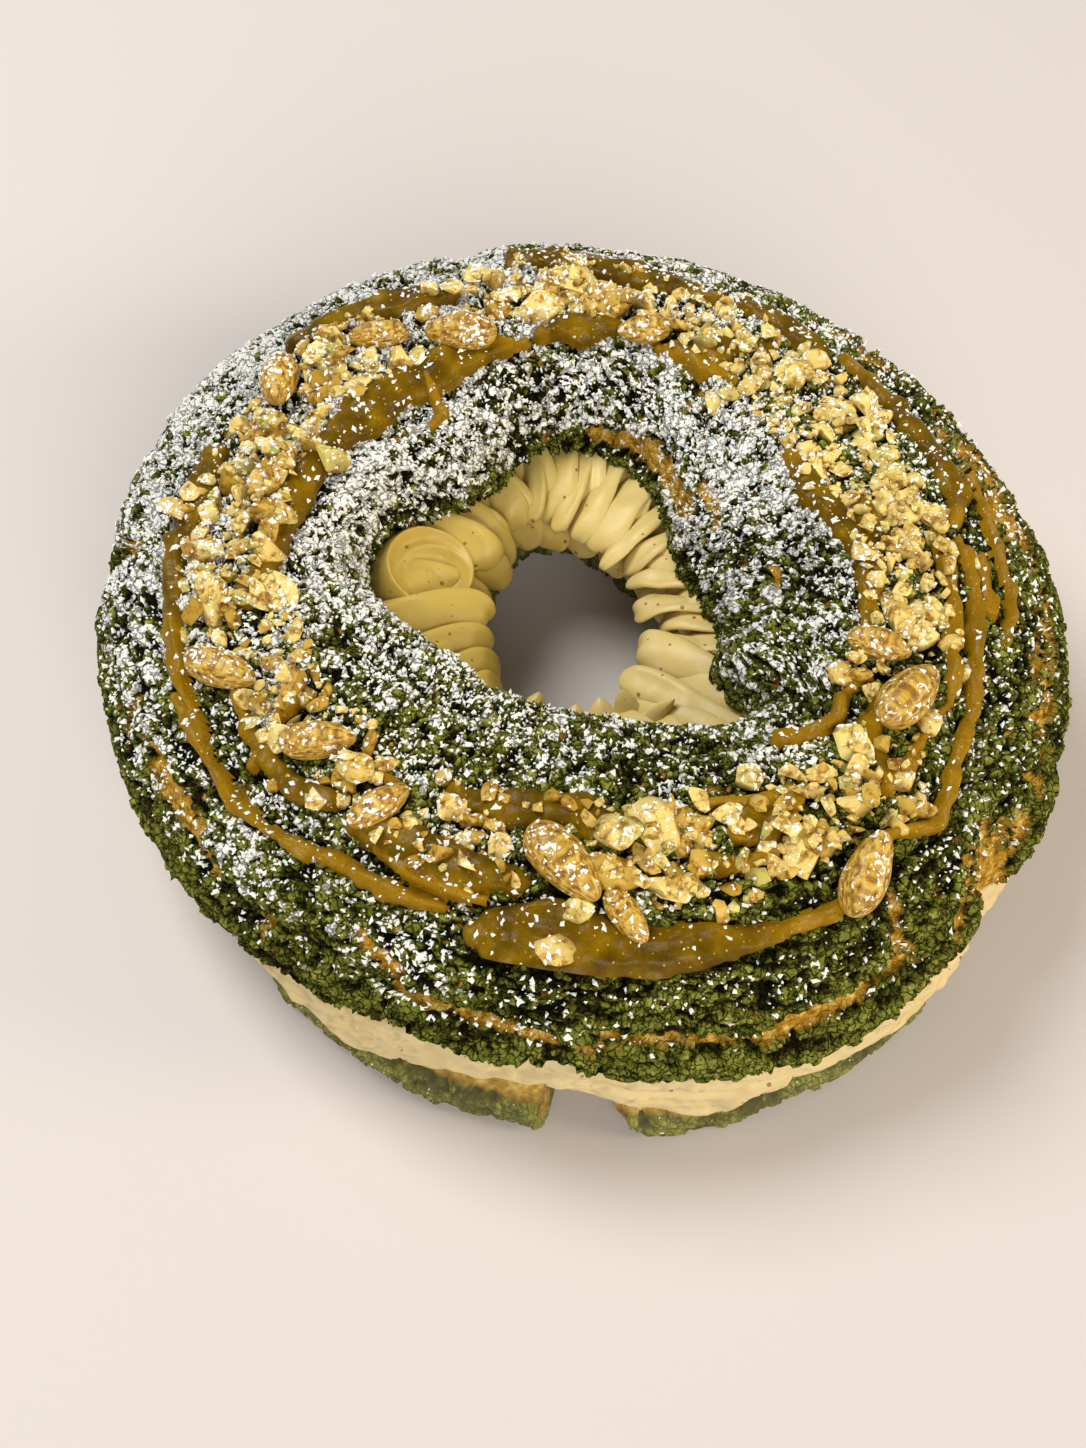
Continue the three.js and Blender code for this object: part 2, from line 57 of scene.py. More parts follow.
# Tables of [azimuth, value] round the ring: the radius of the hole in crown, cream and base, the
# height of the lower edge of crown and cream outside, and how far base and cream are set back.
CROWN_HOLE = [
    [168, 45.5], [127, 36], [98, 43.5], [24, 22], [-30, 30], [-43, 44.5], [-95, 29.5], [-140, 31],
]
CREAM_HOLE = [
    [180, 20], [145, 25], [108, 30], [94, 29], [76, 21], [40, 15], [15, 18], [-35, 12], [-70, 16],
]
BASE_HOLE = [[143, 29], [99, 45], [68, 34], [20, 24], [-60, 21], [-120, 24], [180, 27]]
CROWN_EDGE = [
    [180, 28], [-160, 23.5], [-138, 22.5], [-124, 28], [-115, 30.5], [-96, 33], [-82, 28.5], [-65, 21],
    [-48, 27.5], [-32, 27], [-12, 28], [0, 30],
]
CREAM_EDGE = [
    [180, 17], [-132, 17], [-119, 10], [-106, 18], [-94, 22], [-75, 6], [-64, 12], [-55, 9], [-42, 17],
]
BASE_INSET = [
    [180, 3], [-150, 6], [-137, 6], [-127, 3.4], [-108, 0.4], [-80, -0.8], [-60, 1],
    [-48, 2.2], [-37, 7], [-22, 6], [0, 3.5],
]
CREAM_INSET = [
    [180, 0], [-165, 1.5], [-150, 2.4], [-137, 2.4], [-127, 0.6], [-118, 0], [-48, 0], [-38, 0.8],
    [-30, 2.4], [-20, 1.2], [-5, 0],
]
NICKS = [(175, 5, 2.4), (106, 4, 2.2), (-38, 3.5, 4), (-20, 2, 2)]  # azimuth, depth, half width

# Whole kernels: azimuth, arch, length and heading.
KERNELS = [
    (115, 104, 17, 33), (128, 90, 13, 35), (146, 86, 15.5, -37), (77, 107, 12.5, -26),
    (-94, 82.5, 18, 44), (-85.6, 70, 11, 54), (-55, 68, 17, -37), (-31, 87, 18.5, 20),
    (-24, 95, 13, 83), (-138, 87, 15, -46), (-123, 83, 12.5, -64), (-158, 80, 15, -34),
]
KERNEL_BREADTH, KERNEL_THICKNESS = 0.5, 0.44  # as shares of their length
KERNEL_SUNK = 0.3  # how deep they lie in the crust, as a share of half their thickness

# The band of azimuth and arch along which the chopped nuts lie, and how many of the largest ones
# are scattered over it, as in the solids.
NUT_BAND = [[165, 93], [120, 93], [60, 84], [15, 82], [-30, 88], [-62, 84], [-95, 78], [-150, 84]]
CHIP_COUNT, CHIP_LARGEST, CHIP_SMALLEST, CHIP_BAND, CHIP_SEED = 62, 8, 3.4, 17, 20
CHIP_LEAN = 0.7  # from one side to the other, in radians

# The other large chunks of nut that show: azimuth, arch, length and heading.
CHUNKS = [
    (9, 89, 9, -86), (-1, 90, 9.5, 86), (-12, 87, 9, 60), (-12, 94, 7, -64), (-23, 93, 12.5, 79),
    (-44, 98, 7.5, 66), (-46, 91, 6, 49), (-51, 87, 8, 35), (-59, 86, 8.5, 52), (-62, 104, 6, -71),
    (-44, 75, 6.5, 86), (-35, 85, 6, -60), (8, 79, 7, -26), (17, 87, 8, -13), (25, 96, 7, -47),
    (28, 83, 6, -82), (35, 87, 7, -14), (32, 79, 6.5, -53), (46, 90, 6, -82), (52, 93, 8, 32),
    (45, 81, 6, -59), (59, 90, 6.5, 39), (55, 113, 6, -49), (69, 100, 6.5, -20), (78, 94, 7, -5),
    (91, 102, 8.5, 15), (98, 104, 8.5, 1), (96, 93, 8, 25), (90, 92, 10, -10), (84, 100, 9.5, 19),
    (104, 88, 6.5, -85), (129, 102, 6, 61), (133, 80, 7.5, 76), (138, 88, 10.5, 78), (143, 96, 7, 23),
    (155, 91, 8.5, 14), (154, 102, 8, 74), (157, 118, 8, -89), (161, 101, 7.5, -54), (168, 103, 8.5, 61),
    (168, 92, 6.5, -42), (175, 109, 6.5, 89), (-180, 95, 6, -60), (-178, 104, 7.5, -83),
    (-171, 88, 11, 37), (-169, 99, 9, -40), (174, 78, 6.5, -31), (-87, 90, 8, -16), (-79, 91, 9, 54),
    (-81, 86, 6, 61), (-87, 83, 9.5, 12), (-87, 73, 7.5, 46), (-78, 79, 6.5, 24), (-73, 92, 6.5, 78),
    (-65, 80, 5.5, 22), (-60, 79, 6, 41), (-94, 58, 6.5, 15), (-148, 90, 8, 10), (-144, 81, 7, -60),
    (-130, 88, 6.5, 30),
]
# Heaps of smaller nuts: azimuth, arch, half spans and how many.
HEAPS = [
    (0, 90, 18, 8, 150), (30, 92, 14, 11, 120), (52, 93, 14, 11, 90), (76, 96, 16, 9, 70),
    (100, 92, 14, 11, 60), (140, 90, 14, 12, 90), (167, 98, 15, 11, 110), (-172, 92, 14, 10, 90),
    (-145, 88, 16, 8, 80), (-115, 84, 14, 9, 60), (-82, 84, 12, 11, 90), (-55, 88, 13, 11, 90),
    (-28, 90, 12, 8, 110),
]
# What the heaps are made of: piece, how many for each in the heap, the largest, the smallest, and
# how finely their shapes are divided.
SMALL_NUTS = [("chopped_nuts", 1, 6.2, 3, 2), ("nut_crumbs", 1.3, 3, 1.3, 1)]
# How near small nuts lie, and how high above the ground a nut's middle is, as shares of its size.
NUT_ROOM, NUT_RISE = 0.34, 0.14

# Praline: azimuth, arch and half width along each stroke.
STROKES = [
    [[-104, 58, 2.5], [-101, 59, 5.3], [-94, 60, 6.7], [-84, 59, 5.7], [-75, 61, 3.5], [-67, 62, 1.8],
     [-58, 61, 1.1]],
    [[-114, 92, 2], [-105, 92, 3.6], [-93, 93, 4], [-82, 91, 2.9]],
    [[-125, 76, 2.2], [-118, 77, 4.1], [-110, 77, 4.4], [-100, 77, 2.6]],
    [[-132, 60, 1.1], [-124, 63, 1.4], [-117, 62, 1.8], [-109, 63, 0.9]],
    [[-120, 72, 0.9], [-113, 69, 1.4], [-104, 69, 1.1]],
    [[-159, 61, 1.4], [-150, 59, 1.6], [-141, 57, 1.7], [-136, 58, 1.1], [-129, 59, 1.3]],
    [[-136, 88, 1.2], [-129, 89, 1.2], [-122, 89, 1.2]],
    [[-147, 89, 2], [-144, 76, 1.2], [-143, 69, 1]],
    [[162, 84, 2.8], [171, 84, 4.6], [178, 79, 2.4]],
    [[136, 109, 4.5], [152, 114, 3.4], [166, 116, 2.8], [180, 107, 2.3], [191, 93, 2.3]],
    [[103, 118, 1.4], [116, 113, 3.3], [127, 108, 5.5], [141, 109, 5]],
    [[136, 73, 4], [128, 74, 3.2], [120, 80, 4.4], [112, 87, 2.1]],
    [[127, 111, 1.1], [129, 129, 1.1], [133, 131, 0.8]],
    [[99, 75, 4.2], [89, 80, 4.2], [79, 82, 3.9], [68, 80, 2.3]],
    [[98, 116, 1.9], [92, 111, 4], [83, 107, 2.6]],
    [[73, 111, 1.9], [63, 98, 3.6], [55, 88, 2.3]],
    [[78, 106, 1.4], [72, 110, 1.5], [63, 107, 1.7], [54, 102, 1]],
    [[62, 76, 3.1], [55, 74, 4.5], [47, 75, 2.7]],
    [[44, 67, 1.4], [35, 69, 2.3], [23, 68, 2.5], [13, 67, 2.6], [6, 74, 1.2]],
    [[29, 104, 1.4], [18, 103, 3.2], [7, 102, 3.2], [-1, 99, 1.9]],
    [[13, 94, 1.7], [4, 95, 3.2], [-11, 99, 1.9], [-23, 98, 1.6]],
    [[4, 82, 1.4], [-4, 81, 1.5], [-17, 80, 1.6], [-27, 77, 1.1], [-36, 82, 1], [-42, 85, 1.5]],
    [[3, 75, 1.2], [-7, 74, 1.6], [-19, 73, 2.1], [-26, 69, 1.4], [-36, 69, 1.2], [-43, 66, 1.8]],
    [[-43, 65, 1.3], [-48, 73, 1.1], [-52, 76, 0.9]],
    [[-1, 69, 1.6], [-9, 69, 1.4]],
    [[17, 58, 0.5], [9, 60, 1], [2, 61, 0.7], [-6, 60, 1.1], [-13, 62, 0.5]],
    [[-31, 94, 1.1], [-38, 106, 1.3], [-51, 116, 1.8]],
    [[-33, 91, 1.9], [-41, 95, 2.8], [-45, 85, 1.6]],
    [[-68, 90, 1.5], [-64, 91, 3], [-57, 93, 1.5]],
    [[-74, 85, 2.4], [-69, 83, 1.5], [-64, 84, 0.9]],
    [[-71, 97, 0.8], [-62, 96, 0.8], [-57, 96, 0.8]],
    [[176, 78, 2.2], [186, 74, 2.6], [194, 69, 2], [201, 65, 1.5], [208, 62, 1.2]],
    [[-153, 79, 1.3], [-144, 75, 2], [-137, 74, 2.6], [-130, 77, 2.2]],
]
PRALINE_HEIGHT = 2.1
PRALINE_MARGIN = 1.8  # how far its edge reaches down into the crust
PRALINE_COLUMNS, PRALINE_ARCHES = 1500, (50, 134)

# Places where the crust is broken and browned choux shows: azimuth, arch and half width.
CRACKS = [
    [[-88, 23, 0.7], [-80, 20, 1.2], [-72, 18, 1.6], [-63, 22, 2.2], [-54, 28, 2.6]],
    [[-112, 24, 0.8], [-104, 20, 1.1], [-97, 17, 1.5], [-90, 13, 1]],
    [[-56, 27, 1.6], [-54, 40, 1.4], [-53, 55, 0.9]],
    [[-47, 12, 1.4], [-44, 28, 1.9], [-41, 43, 1.2]],
    [[-26, 24, 1.8], [-20, 30, 2.2]],
    [[-156, 42, 1.6], [-148, 36, 2.8], [-139, 27, 1.8]],
    [[-163, 19, 0.9], [-163, 43, 1.1]],
    [[-130, 13, 0.9], [-130, 26, 1.1]],
    [[-118, 43, 0.9], [-112, 34, 1.2]],
    [[88, 170, 1.2], [76, 166, 3.2], [62, 162, 4], [48, 158, 3.4], [36, 152, 1.6]],
    [[41, 141, 1], [31, 139, 1.7], [22, 141, 1]],
    [[-4, 130, 1.2], [-12, 131, 1]],
]

# Places where the crust is thin and the choux shows through it: azimuth, arch and half spans.
THIN_CRUST = [
    (14, 42, 26, 26), (48, 45, 16, 18), (-12, 36, 16, 20), (-30, 26, 15, 14), (-150, 36, 14, 12),
    (150, 20, 12, 12),
]

SEAM_ARCH = 85  # the crust is made in two halves that meet here
CRUST_COLUMNS, INNER_COLUMNS, CRUST_STEP = 1080, 800, 0.56
CUT_ROWS = 7  # rows of points across the cut face under the crown
# The crust unrolled for its flakes: radius, millimetres for each degree of the arch, and how much
# longer the flakes are along the ring.
UNROLLED_RADIUS, ARCH_MILLIMETRES, ALONG_STRETCH = 85, 0.62, 1.5

CREAM_COLUMNS = 720
CREAM_BAND_DEPTH = 5.6  # how far the back of the band of cream lies inside the outline
PETAL_TUCK = 3.5  # how far petals reach under the crown's lip
ROPE_BELLY = 21  # height where the rope under the petals reaches farthest
ROPE_SET_BACK = 4.5  # how far behind the petals' tips it lies
# Petals of cream, clockwise from the rosette: azimuth under the crown's lip, then azimuth, radius and
# height of the tip, width, how pointed the tip is, and 1 where the crest is on the side of the
# larger azimuth.
PETALS = [
    (147, 142, 27.5, 32, 12, 0.2, -1), (139, 133, 30, 31, 6, 0.5, -1), (133, 123, 31, 30.5, 5.5, 0.6, -1),
    (118, 118, 33, 30, 8, 0.3, -1), (104, 111, 31, 32, 6, 1, -1), (95, 104, 31, 31, 9.5, 0.4, -1),
    (88, 103, 27, 32.5, 7, 0.9, -1), (79, 94, 25, 31.5, 8, 0.6, -1), (69, 86, 23.5, 31, 11, 0.3, -1),
    (57, 77, 18, 31.5, 7.5, 1, -1), (47, 62, 19.5, 30, 7, 0.8, -1), (34, 50, 21, 30, 8, 0.3, -1),
    (20, 55, 16.5, 30, 6, 1, -1), (5, 30, 13.5, 30, 7.5, 0.3, -1), (-5, 13, 18, 29.5, 8, 0.2, -1),
    (-17, -6, 16, 30, 5.5, 1, -1), (-25, -12, 18.5, 28, 6, 0.6, -1), (-31, -26, 13.5, 31, 9, 0, 1),
    (-42, -60, 15.5, 33, 8.5, 0.8, 1), (-45, -68, 19, 28, 10, 0.4, 1), (-62, -84, 23, 26, 9, 0.3, 1),
    (-82, -99, 23, 25, 9, 0.3, 1), (-102, -113, 23, 25, 9, 0.3, 1), (-122, -128, 22, 26, 9, 0.3, 1),
    (-138, -142, 22.5, 26, 8, 0.4, -1), (-150, -156, 20.5, 27, 8, 0.4, -1),
    (-163, -171, 21, 29.5, 8.5, 0.3, -1), (-175, -185, 21.5, 33.5, 10.5, 0.3, -1),
]
# The lower row of petals, which shows at the back and left.
LOWER_PETALS = [
    (150, 138, 26.5, 24, 10, 0, -1), (134, 129, 30, 24, 9, 0, -1), (119, 113, 32.5, 23, 10, 0, -1),
    (104, 104, 30.5, 23, 9, 0, -1), (88, 92, 28, 23, 10, 0.2, -1), (70, 76, 24, 23, 10, 0.2, -1),
    (45, 50, 22, 23, 11, 0.1, -1), (15, 20, 20, 23, 10, 0.1, -1), (-12, -8, 18.5, 23, 9, 0.1, -1),
    (-36, -38, 18, 23, 10, 0, 1), (-60, -66, 21, 22, 10, 0, 1), (-90, -94, 24, 22, 11, 0, 1),
    (-115, -118, 25, 22, 10, 0, 1), (-138, -142, 24, 22, 10, 0, 1), (-158, -164, 23.5, 22, 9, 0, -1),
    (-176, -184, 24.5, 23, 9, 0, -1), (168, 158, 25.5, 24, 10, 0, -1),
]
# Small peaks where the nozzle was pulled away: azimuth, radius and height of the tip, then of the
# foot, and the foot's half width.
PEAKS = [
    (-51, 28.5, 40, -60, 27, 33, 3.2), (-68, 20, 38, -66, 24, 28, 4.6), (-79, 17.5, 33, -80, 22, 26, 4.5),
    (-95, 18, 31.5, -97, 22, 25, 4), (-121, 18, 32, -122, 23, 25, 5),
]
ROSETTE = (161, 35.5, 36, 22)  # azimuth, radius, height and lean of its middle
ROSETTE_REACH, ROSETTE_BEND = 12.4, 9.2  # its radius, and where its edge starts to bend down

BASE_COLUMNS = 900
BASE_HEIGHT, BASE_FOOT = 16.7, 0.3
CHOUX_INSET, CRUST_BULGE = 6.2, 2.4  # how far the choux is set back, and how far the crust bulges
BASE_GAP = (-91, 6.6, 17)  # azimuth, half width and depth
GAP_EASE = 2.6  # how far its walls lean to each side of the half width

SUGAR_FLECKS = 15500
SUGAR_LOST = (0.78, 0.4)  # shares of the flecks that melt on praline and that roll off nuts
FLECK_SIZES = (0.24, 0.86)

SHARD = 1.8  # size of the shards of crust in its colours
WHITE = (255, 255, 255)
SUGAR_WHITE = (250, 249, 245)
# Specks in the praline: spacing, reach as a share of it, strength and colour.
PRALINE_SPECKS = [(0.9, 0.2, 0.55, (92, 56, 8)), (1.7, 0.13, 0.6, (206, 176, 92))]

DOWN = Vector((0, 0, -1))


def round_table(table, azimuth):
    """Value at each azimuth of a table of [azimuth, value] round the ring, eased between rows."""
    rows = sorted(table)
    rows = [[rows[-1][0] - 360, rows[-1][1]], *rows, [rows[0][0] + 360, rows[0][1]]]
    stops, values = np.array(rows, float).T
    turn = np.mod(np.asarray(azimuth, float) + 180, 360) - 180
    after = np.searchsorted(stops, turn, side="right")
    share = smoothstep(stops[after - 1], stops[after], turn)
    return values[after - 1] + (values[after] - values[after - 1]) * share


def smoothstep(start, end, value):
    share = np.clip((value - start) / (end - start), 0, 1)
    return share * share * (3 - 2 * share)


def cos(degrees):
    return np.cos(np.radians(degrees))


def sin(degrees):
    return np.sin(np.radians(degrees))


def power(value, exponent):
    return np.sign(value) * np.abs(value) ** exponent


def unit(vectors):
    return vectors / np.linalg.norm(vectors, axis=-1, keepdims=True)


def turn_between(a, b):
    """Degrees from one azimuth to another, the short way round."""
    return np.mod(a - b + 180, 360) - 180


def outer_radius(azimuth):
    return OUTER_RADIUS + OVAL[0] * cos(2 * (azimuth - OVAL[1])) + LEAN[0] * cos(azimuth - LEAN[1])


def bell(value, width):
    """1 where the value is 0, falling away within about this width on both sides."""
    return np.exp(-((value / width) ** 2))


def nick_depth(azimuth):
    depths = [depth * bell(turn_between(azimuth, at), width) for at, depth, width in NICKS]
    return np.max(depths, axis=0)


def waviness(azimuth, arch):
    a = np.radians(azimuth)
    return np.sin(5 * a + arch / 30) + np.sin(11 * a - arch / 17) + 0.6 * np.sin(17 * a + arch / 9)


def around_ring(azimuth, radius, height):
    azimuth, radius, height = np.broadcast_arrays(azimuth, radius, height)
    return np.stack([radius * cos(azimuth), radius * sin(azimuth), height], axis=-1)


def smooth_arch(azimuth, arch):
    """Radius and height on the crown's smooth arch."""
    outer = outer_radius(azimuth) - nick_depth(azimuth) * cos(np.minimum(arch, 90)) ** 2
    inner = round_table(CROWN_HOLE, azimuth)
    across = power(cos(arch), 2 / ROUNDNESS)
    up = power(sin(arch), 2 / ROUNDNESS)
    outer_edge = round_table(CROWN_EDGE, azimuth)
    edge = INNER_EDGE + (outer_edge - INNER_EDGE) * (across + 1) / 2
    rise = TOP_HEIGHT - (outer_edge + INNER_EDGE) / 2
    return (outer + inner) / 2 + across * (outer - inner) / 2, edge + rise * up


def on_crown(azimuth, arch):
    return around_ring(azimuth, *smooth_arch(azimuth, arch))


def crown_axes(azimuth, arch, step=1.5):
    """Axes on the crown: along the ring, across it towards the hole, and outwards, and the
    millimetres for each degree of the arch."""
    along = unit(on_crown(azimuth + step, arch) - on_crown(azimuth - step, arch))
    across = on_crown(azimuth, arch + step) - on_crown(azimuth, arch - step)
    length = np.linalg.norm(across, axis=-1) / (2 * step)
    out = -unit(np.cross(across, along))
    return along, unit(across), out, length


def creased(azimuth, arch):
    """Points on the crown with the creases and low waves of the crust."""
    crease = sum(FURROW[0] * bell(arch - at, FURROW[1]) for at in FURROWS)
    lift = 0.25 * waviness(azimuth, arch) * sin(arch) - crease
    return on_crown(azimuth, arch) + crown_axes(azimuth, arch)[2] * lift[..., None]


def cut_height(azimuth, radius):
    """Height of the crown's cut face at a radius."""
    inner, outer = round_table(CROWN_HOLE, azimuth), outer_radius(azimuth)
    share = np.clip((radius - inner) / (outer - inner), 0, 1)
    return INNER_EDGE + (round_table(CROWN_EDGE, azimuth) - INNER_EDGE) * share


def hashed(cells, salt):
    """A value from 0 to 1 for each whole-number cell."""
    mixed = cells[..., 0] * 73856093 ^ cells[..., 1] * 19349663 ^ cells[..., 2] * 83492791
    mixed = (mixed ^ salt * 40503) & 0xFFFFFFFF
    mixed = ((mixed ^ (mixed >> 15)) * 739982445) & 0xFFFFFFFF
    mixed = ((mixed ^ (mixed >> 12)) * 695872825) & 0xFFFFFFFF
    return ((mixed ^ (mixed >> 15)) & 0xFFFFFF) / 0x1000000


def soft_noise(points, size, salt=0):
    """Noise from -1 to 1 whose lumps are about this size."""
    at = points / size
    cell = np.floor(at).astype(np.int64)
    share = at - cell
    share = share * share * (3 - 2 * share)
    total = 0
    for corner in itertools.product((0, 1), repeat=3):
        weight = np.prod(np.where(corner, share, 1 - share), axis=-1)
        total = total + weight * hashed(cell + np.array(corner), salt)
    return 2 * total - 1


def noises(points, *layers):
    """Soft noises added together: layers are (strength, size, salt)."""
    return sum(strength * soft_noise(points, size, salt) for strength, size, salt in layers)


def crumbs(points, size, salt):
    """Scattered seeds a cell size apart: the distance to the nearest, how much farther the second
    is, and a value of its own for the nearest."""
    at = points / size
    cell = np.floor(at).astype(np.int64)
    nearest = np.full(at.shape[:-1], 9.0)
    second = nearest.copy()
    owner = np.zeros_like(nearest)
    for step in itertools.product((-1, 0, 1), repeat=3):
        there = cell + np.array(step)
        seed = there + np.stack([hashed(there, salt + k) for k in range(3)], axis=-1)
        away = np.linalg.norm(at - seed, axis=-1)
        closer = away < nearest
        second = np.where(closer, nearest, np.minimum(second, away))
        owner = np.where(closer, hashed(there, salt + 3), owner)
        nearest = np.minimum(nearest, away)
    return nearest, second - nearest, owner


def seeded(seed):
    """A function that gives the same draws from 0 to 1 in every run."""
    state = [seed]

    def draw():
        state[0] = (state[0] * 48271) % 2147483647
        return state[0] / 2147483647

    return draw


def stroke_share(azimuth, arch, strokes):
    """How far each point is from the middle of the nearest stroke, in half widths, and the half
    width there."""
    radius = smooth_arch(azimuth, arch)[0]
    length = crown_axes(azimuth, arch)[3]
    share = np.full(azimuth.shape, 9.0)
    width = np.ones(azimuth.shape)
    for stroke in strokes:
        for start, end in zip(stroke, stroke[1:]):
            along = np.radians(turn_between(azimuth, start[0])) * radius
            across = (arch - start[1]) * length
            run = math.radians(end[0] - start[0]) * radius, (end[1] - start[1]) * length
            at = np.clip((along * run[0] + across * run[1]) / (run[0] ** 2 + run[1] ** 2), 0, 1)
            half = start[2] + (end[2] - start[2]) * at
            away = np.hypot(along - at * run[0], across - at * run[1]) / half
            width = np.where(away < share, half, width)
            share = np.minimum(share, away)
    return share, width


def to_row(points):
    """The ring's coordinates in millimetres to the row frame in metres."""
    return (np.asarray(points, float) - RING_CENTRE) / 1000


def add_object(name, data):
    made = bpy.data.objects.new(name, data)
    bpy.context.scene.collection.objects.link(made)
    return made


def mesh_piece(name, points, faces, material, replaced=("crown",), slot="topped_crust", smooth=True,
               **values):
    """A piece of the object as one mesh, with a value at each point for each named attribute. It
    replaces the crown unless another node is named."""
    mesh = bpy.data.meshes.new(name)
    mesh.from_pydata(to_row(points).tolist(), [], np.asarray(faces).tolist())
    for key, value in values.items():
        layer = mesh.attributes.new(key, "FLOAT", "POINT")
        layer.data.foreach_set("value", np.ascontiguousarray(value, np.float32).ravel())
    if smooth:
        mesh.shade_smooth()
    mesh.materials.append(material)
    piece = add_object(name, mesh)
    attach(piece, "root")
    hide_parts(*replaced)
    return piece


class Heap:
    """Many closed lumps joined in one mesh, with values of their own at each point."""

    def __init__(self):
        self.points, self.faces, self.values, self.total = [], [], {}, 0

    def add(self, points, faces, **values):
        self.points.append(points)
        self.faces.append(faces + self.total)
        for name, value in values.items():
            self.values.setdefault(name, []).append(np.broadcast_to(value, len(points)))
        self.total += len(points)

    def piece(self, name, material, *node_and_slot):
        points, faces = np.concatenate(self.points), np.concatenate(self.faces)
        values = {key: np.concatenate(value) for key, value in self.values.items()}
        return mesh_piece(name, points, faces, material, *node_and_slot, **values)


def ring_faces(rows, columns, closed_rows=False):
    """Quads between rows of points round the ring, facing out where rows go up the outside."""
    row = np.arange(rows if closed_rows else rows - 1)[:, None]
    column = np.arange(columns)[None, :]
    following = (row + 1) % rows
    beside = (column + 1) % columns
    corners = [row * columns + column, row * columns + beside]
    corners += [following * columns + beside, following * columns + column]
    return np.stack(np.broadcast_arrays(*corners), axis=-1).reshape(-1, 4)


def even_arches(start, end, step):
    """Arch angles about a step apart along the crown's surface."""
    fine = np.linspace(start, end, 2000)
    around = np.arange(0, 360, 15)
    points = on_crown(around[None, :], fine[:, None])
    steps = np.linalg.norm(np.diff(points, axis=0), axis=-1).mean(axis=1)
    run = np.concatenate([[0], np.cumsum(steps)])
    count = max(2, round(run[-1] / step) + 1)
    return np.interp(np.linspace(0, run[-1], count), run, fine)


# Materials


class Shader:
    """A material with one Principled shader, and short ways to add nodes to it."""

    def __init__(self, name):
        self.material = bpy.data.materials.new(name)
        self.material.use_nodes = True
        self.tree = self.material.node_tree
        self.principled = self.tree.nodes["Principled BSDF"]
        self.place = self.node("ShaderNodeTexCoord").outputs["Object"]

    def set(self, **sockets):
        """Fixed values of the Principled shader's sockets, with spaces written as underscores."""
        for name, value in sockets.items():
            self.principled.inputs[name.replace("_", " ")].default_value = value

    def use(self, socket, value):
        self.tree.links.new(value, self.principled.inputs[socket])

    def node(self, kind, inputs=(), **settings):
        made = self.tree.nodes.new(kind)
        for name, value in settings.items():
            setattr(made, name, value)
        for socket, value in dict(inputs).items():
            if isinstance(value, bpy.types.NodeSocket):
                self.tree.links.new(value, made.inputs[socket])
            else:
                made.inputs[socket].default_value = value
        return made

    def value(self, name):
        """A named value of the mesh's points."""
        return self.node("ShaderNodeAttribute", attribute_name=name).outputs["Fac"]

    def math(self, operation, a, b):
        return self.node("ShaderNodeMath", {0: a, 1: b}, operation=operation).outputs[0]

    def plus(self, a, b):
        return self.math("ADD", a, b)

    def minus(self, a, b):
        return self.math("SUBTRACT", a, b)

    def times(self, a, b):
        return self.math("MULTIPLY", a, b)

    def ramp(self, value, *stops):
        """A number or a colour that changes with a value: stops are (value, colour)."""
        made = self.node("ShaderNodeValToRGB", {"Fac": value})
        elements = made.color_ramp.elements
        elements[0].position, elements[1].position = stops[0][0], stops[-1][0]
        for at, _ in stops[1:-1]:
            elements.new(at)
        for element, (_, colour) in zip(elements, stops):
            element.color = paint(colour) if isinstance(colour, tuple) else (colour, colour, colour, 1)
        return made.outputs["Color"]

    def mix(self, share, a, b, kind="MIX"):
        """Colour a where the share is 0, and b where it is 1."""
        a, b = (paint(colour) if isinstance(colour, tuple) else colour for colour in (a, b))
        inputs = {0: share, 6: a, 7: b}
        return self.node("ShaderNodeMix", inputs, data_type="RGBA", blend_type=kind).outputs[2]

    def multiply(self, product, *colours):
        for colour in colours:
            product = self.mix(1.0, product, colour, "MULTIPLY")
        return product

    def noise(self, size, detail=2.0, roughness=0.5, output="Fac"):
        """Noise whose lumps are about this many millimetres across."""
        inputs = {"Vector": self.place, "Scale": 1000 / size, "Detail": detail, "Roughness": roughness}
        return self.node("ShaderNodeTexNoise", inputs).outputs[output]

    def cells(self, size, output="Distance", feature="F1", place=None):
        inputs = {"Vector": place or self.place, "Scale": 1000 / size}
        return self.node("ShaderNodeTexVoronoi", inputs, feature=feature).outputs[output]

    def bump(self, height, strength, distance):
        inputs = {"Height": height, "Strength": strength, "Distance": distance / 1000}
        self.use("Normal", self.node("ShaderNodeBump", inputs).outputs["Normal"])


def paint(colour):
    """A colour given as it shows on a screen, from 0 to 255, as the renderer's linear colour."""
    share = np.array(colour, float) / 255
    linear = np.where(share <= 0.04045, share / 12.92, ((share + 0.055) / 1.055) ** 2.4)
    return (*linear.tolist(), 1)


def shards(s):
    """1 on crisp little shards of crust or sugar, and 0 in the gaps between them."""
    warp = {0: s.noise(SHARD, 1.0, output="Color"), "Scale": 0.0011 * SHARD}
    shift = s.node("ShaderNodeVectorMath", warp, operation="SCALE").outputs[0]
    bent = s.node("ShaderNodeVectorMath", {0: s.place, 1: shift}, operation="ADD").outputs[0]
    return s.ramp(s.cells(SHARD, feature="DISTANCE_TO_EDGE", place=bent), (0.02, 0.0), (0.11, 1.0))


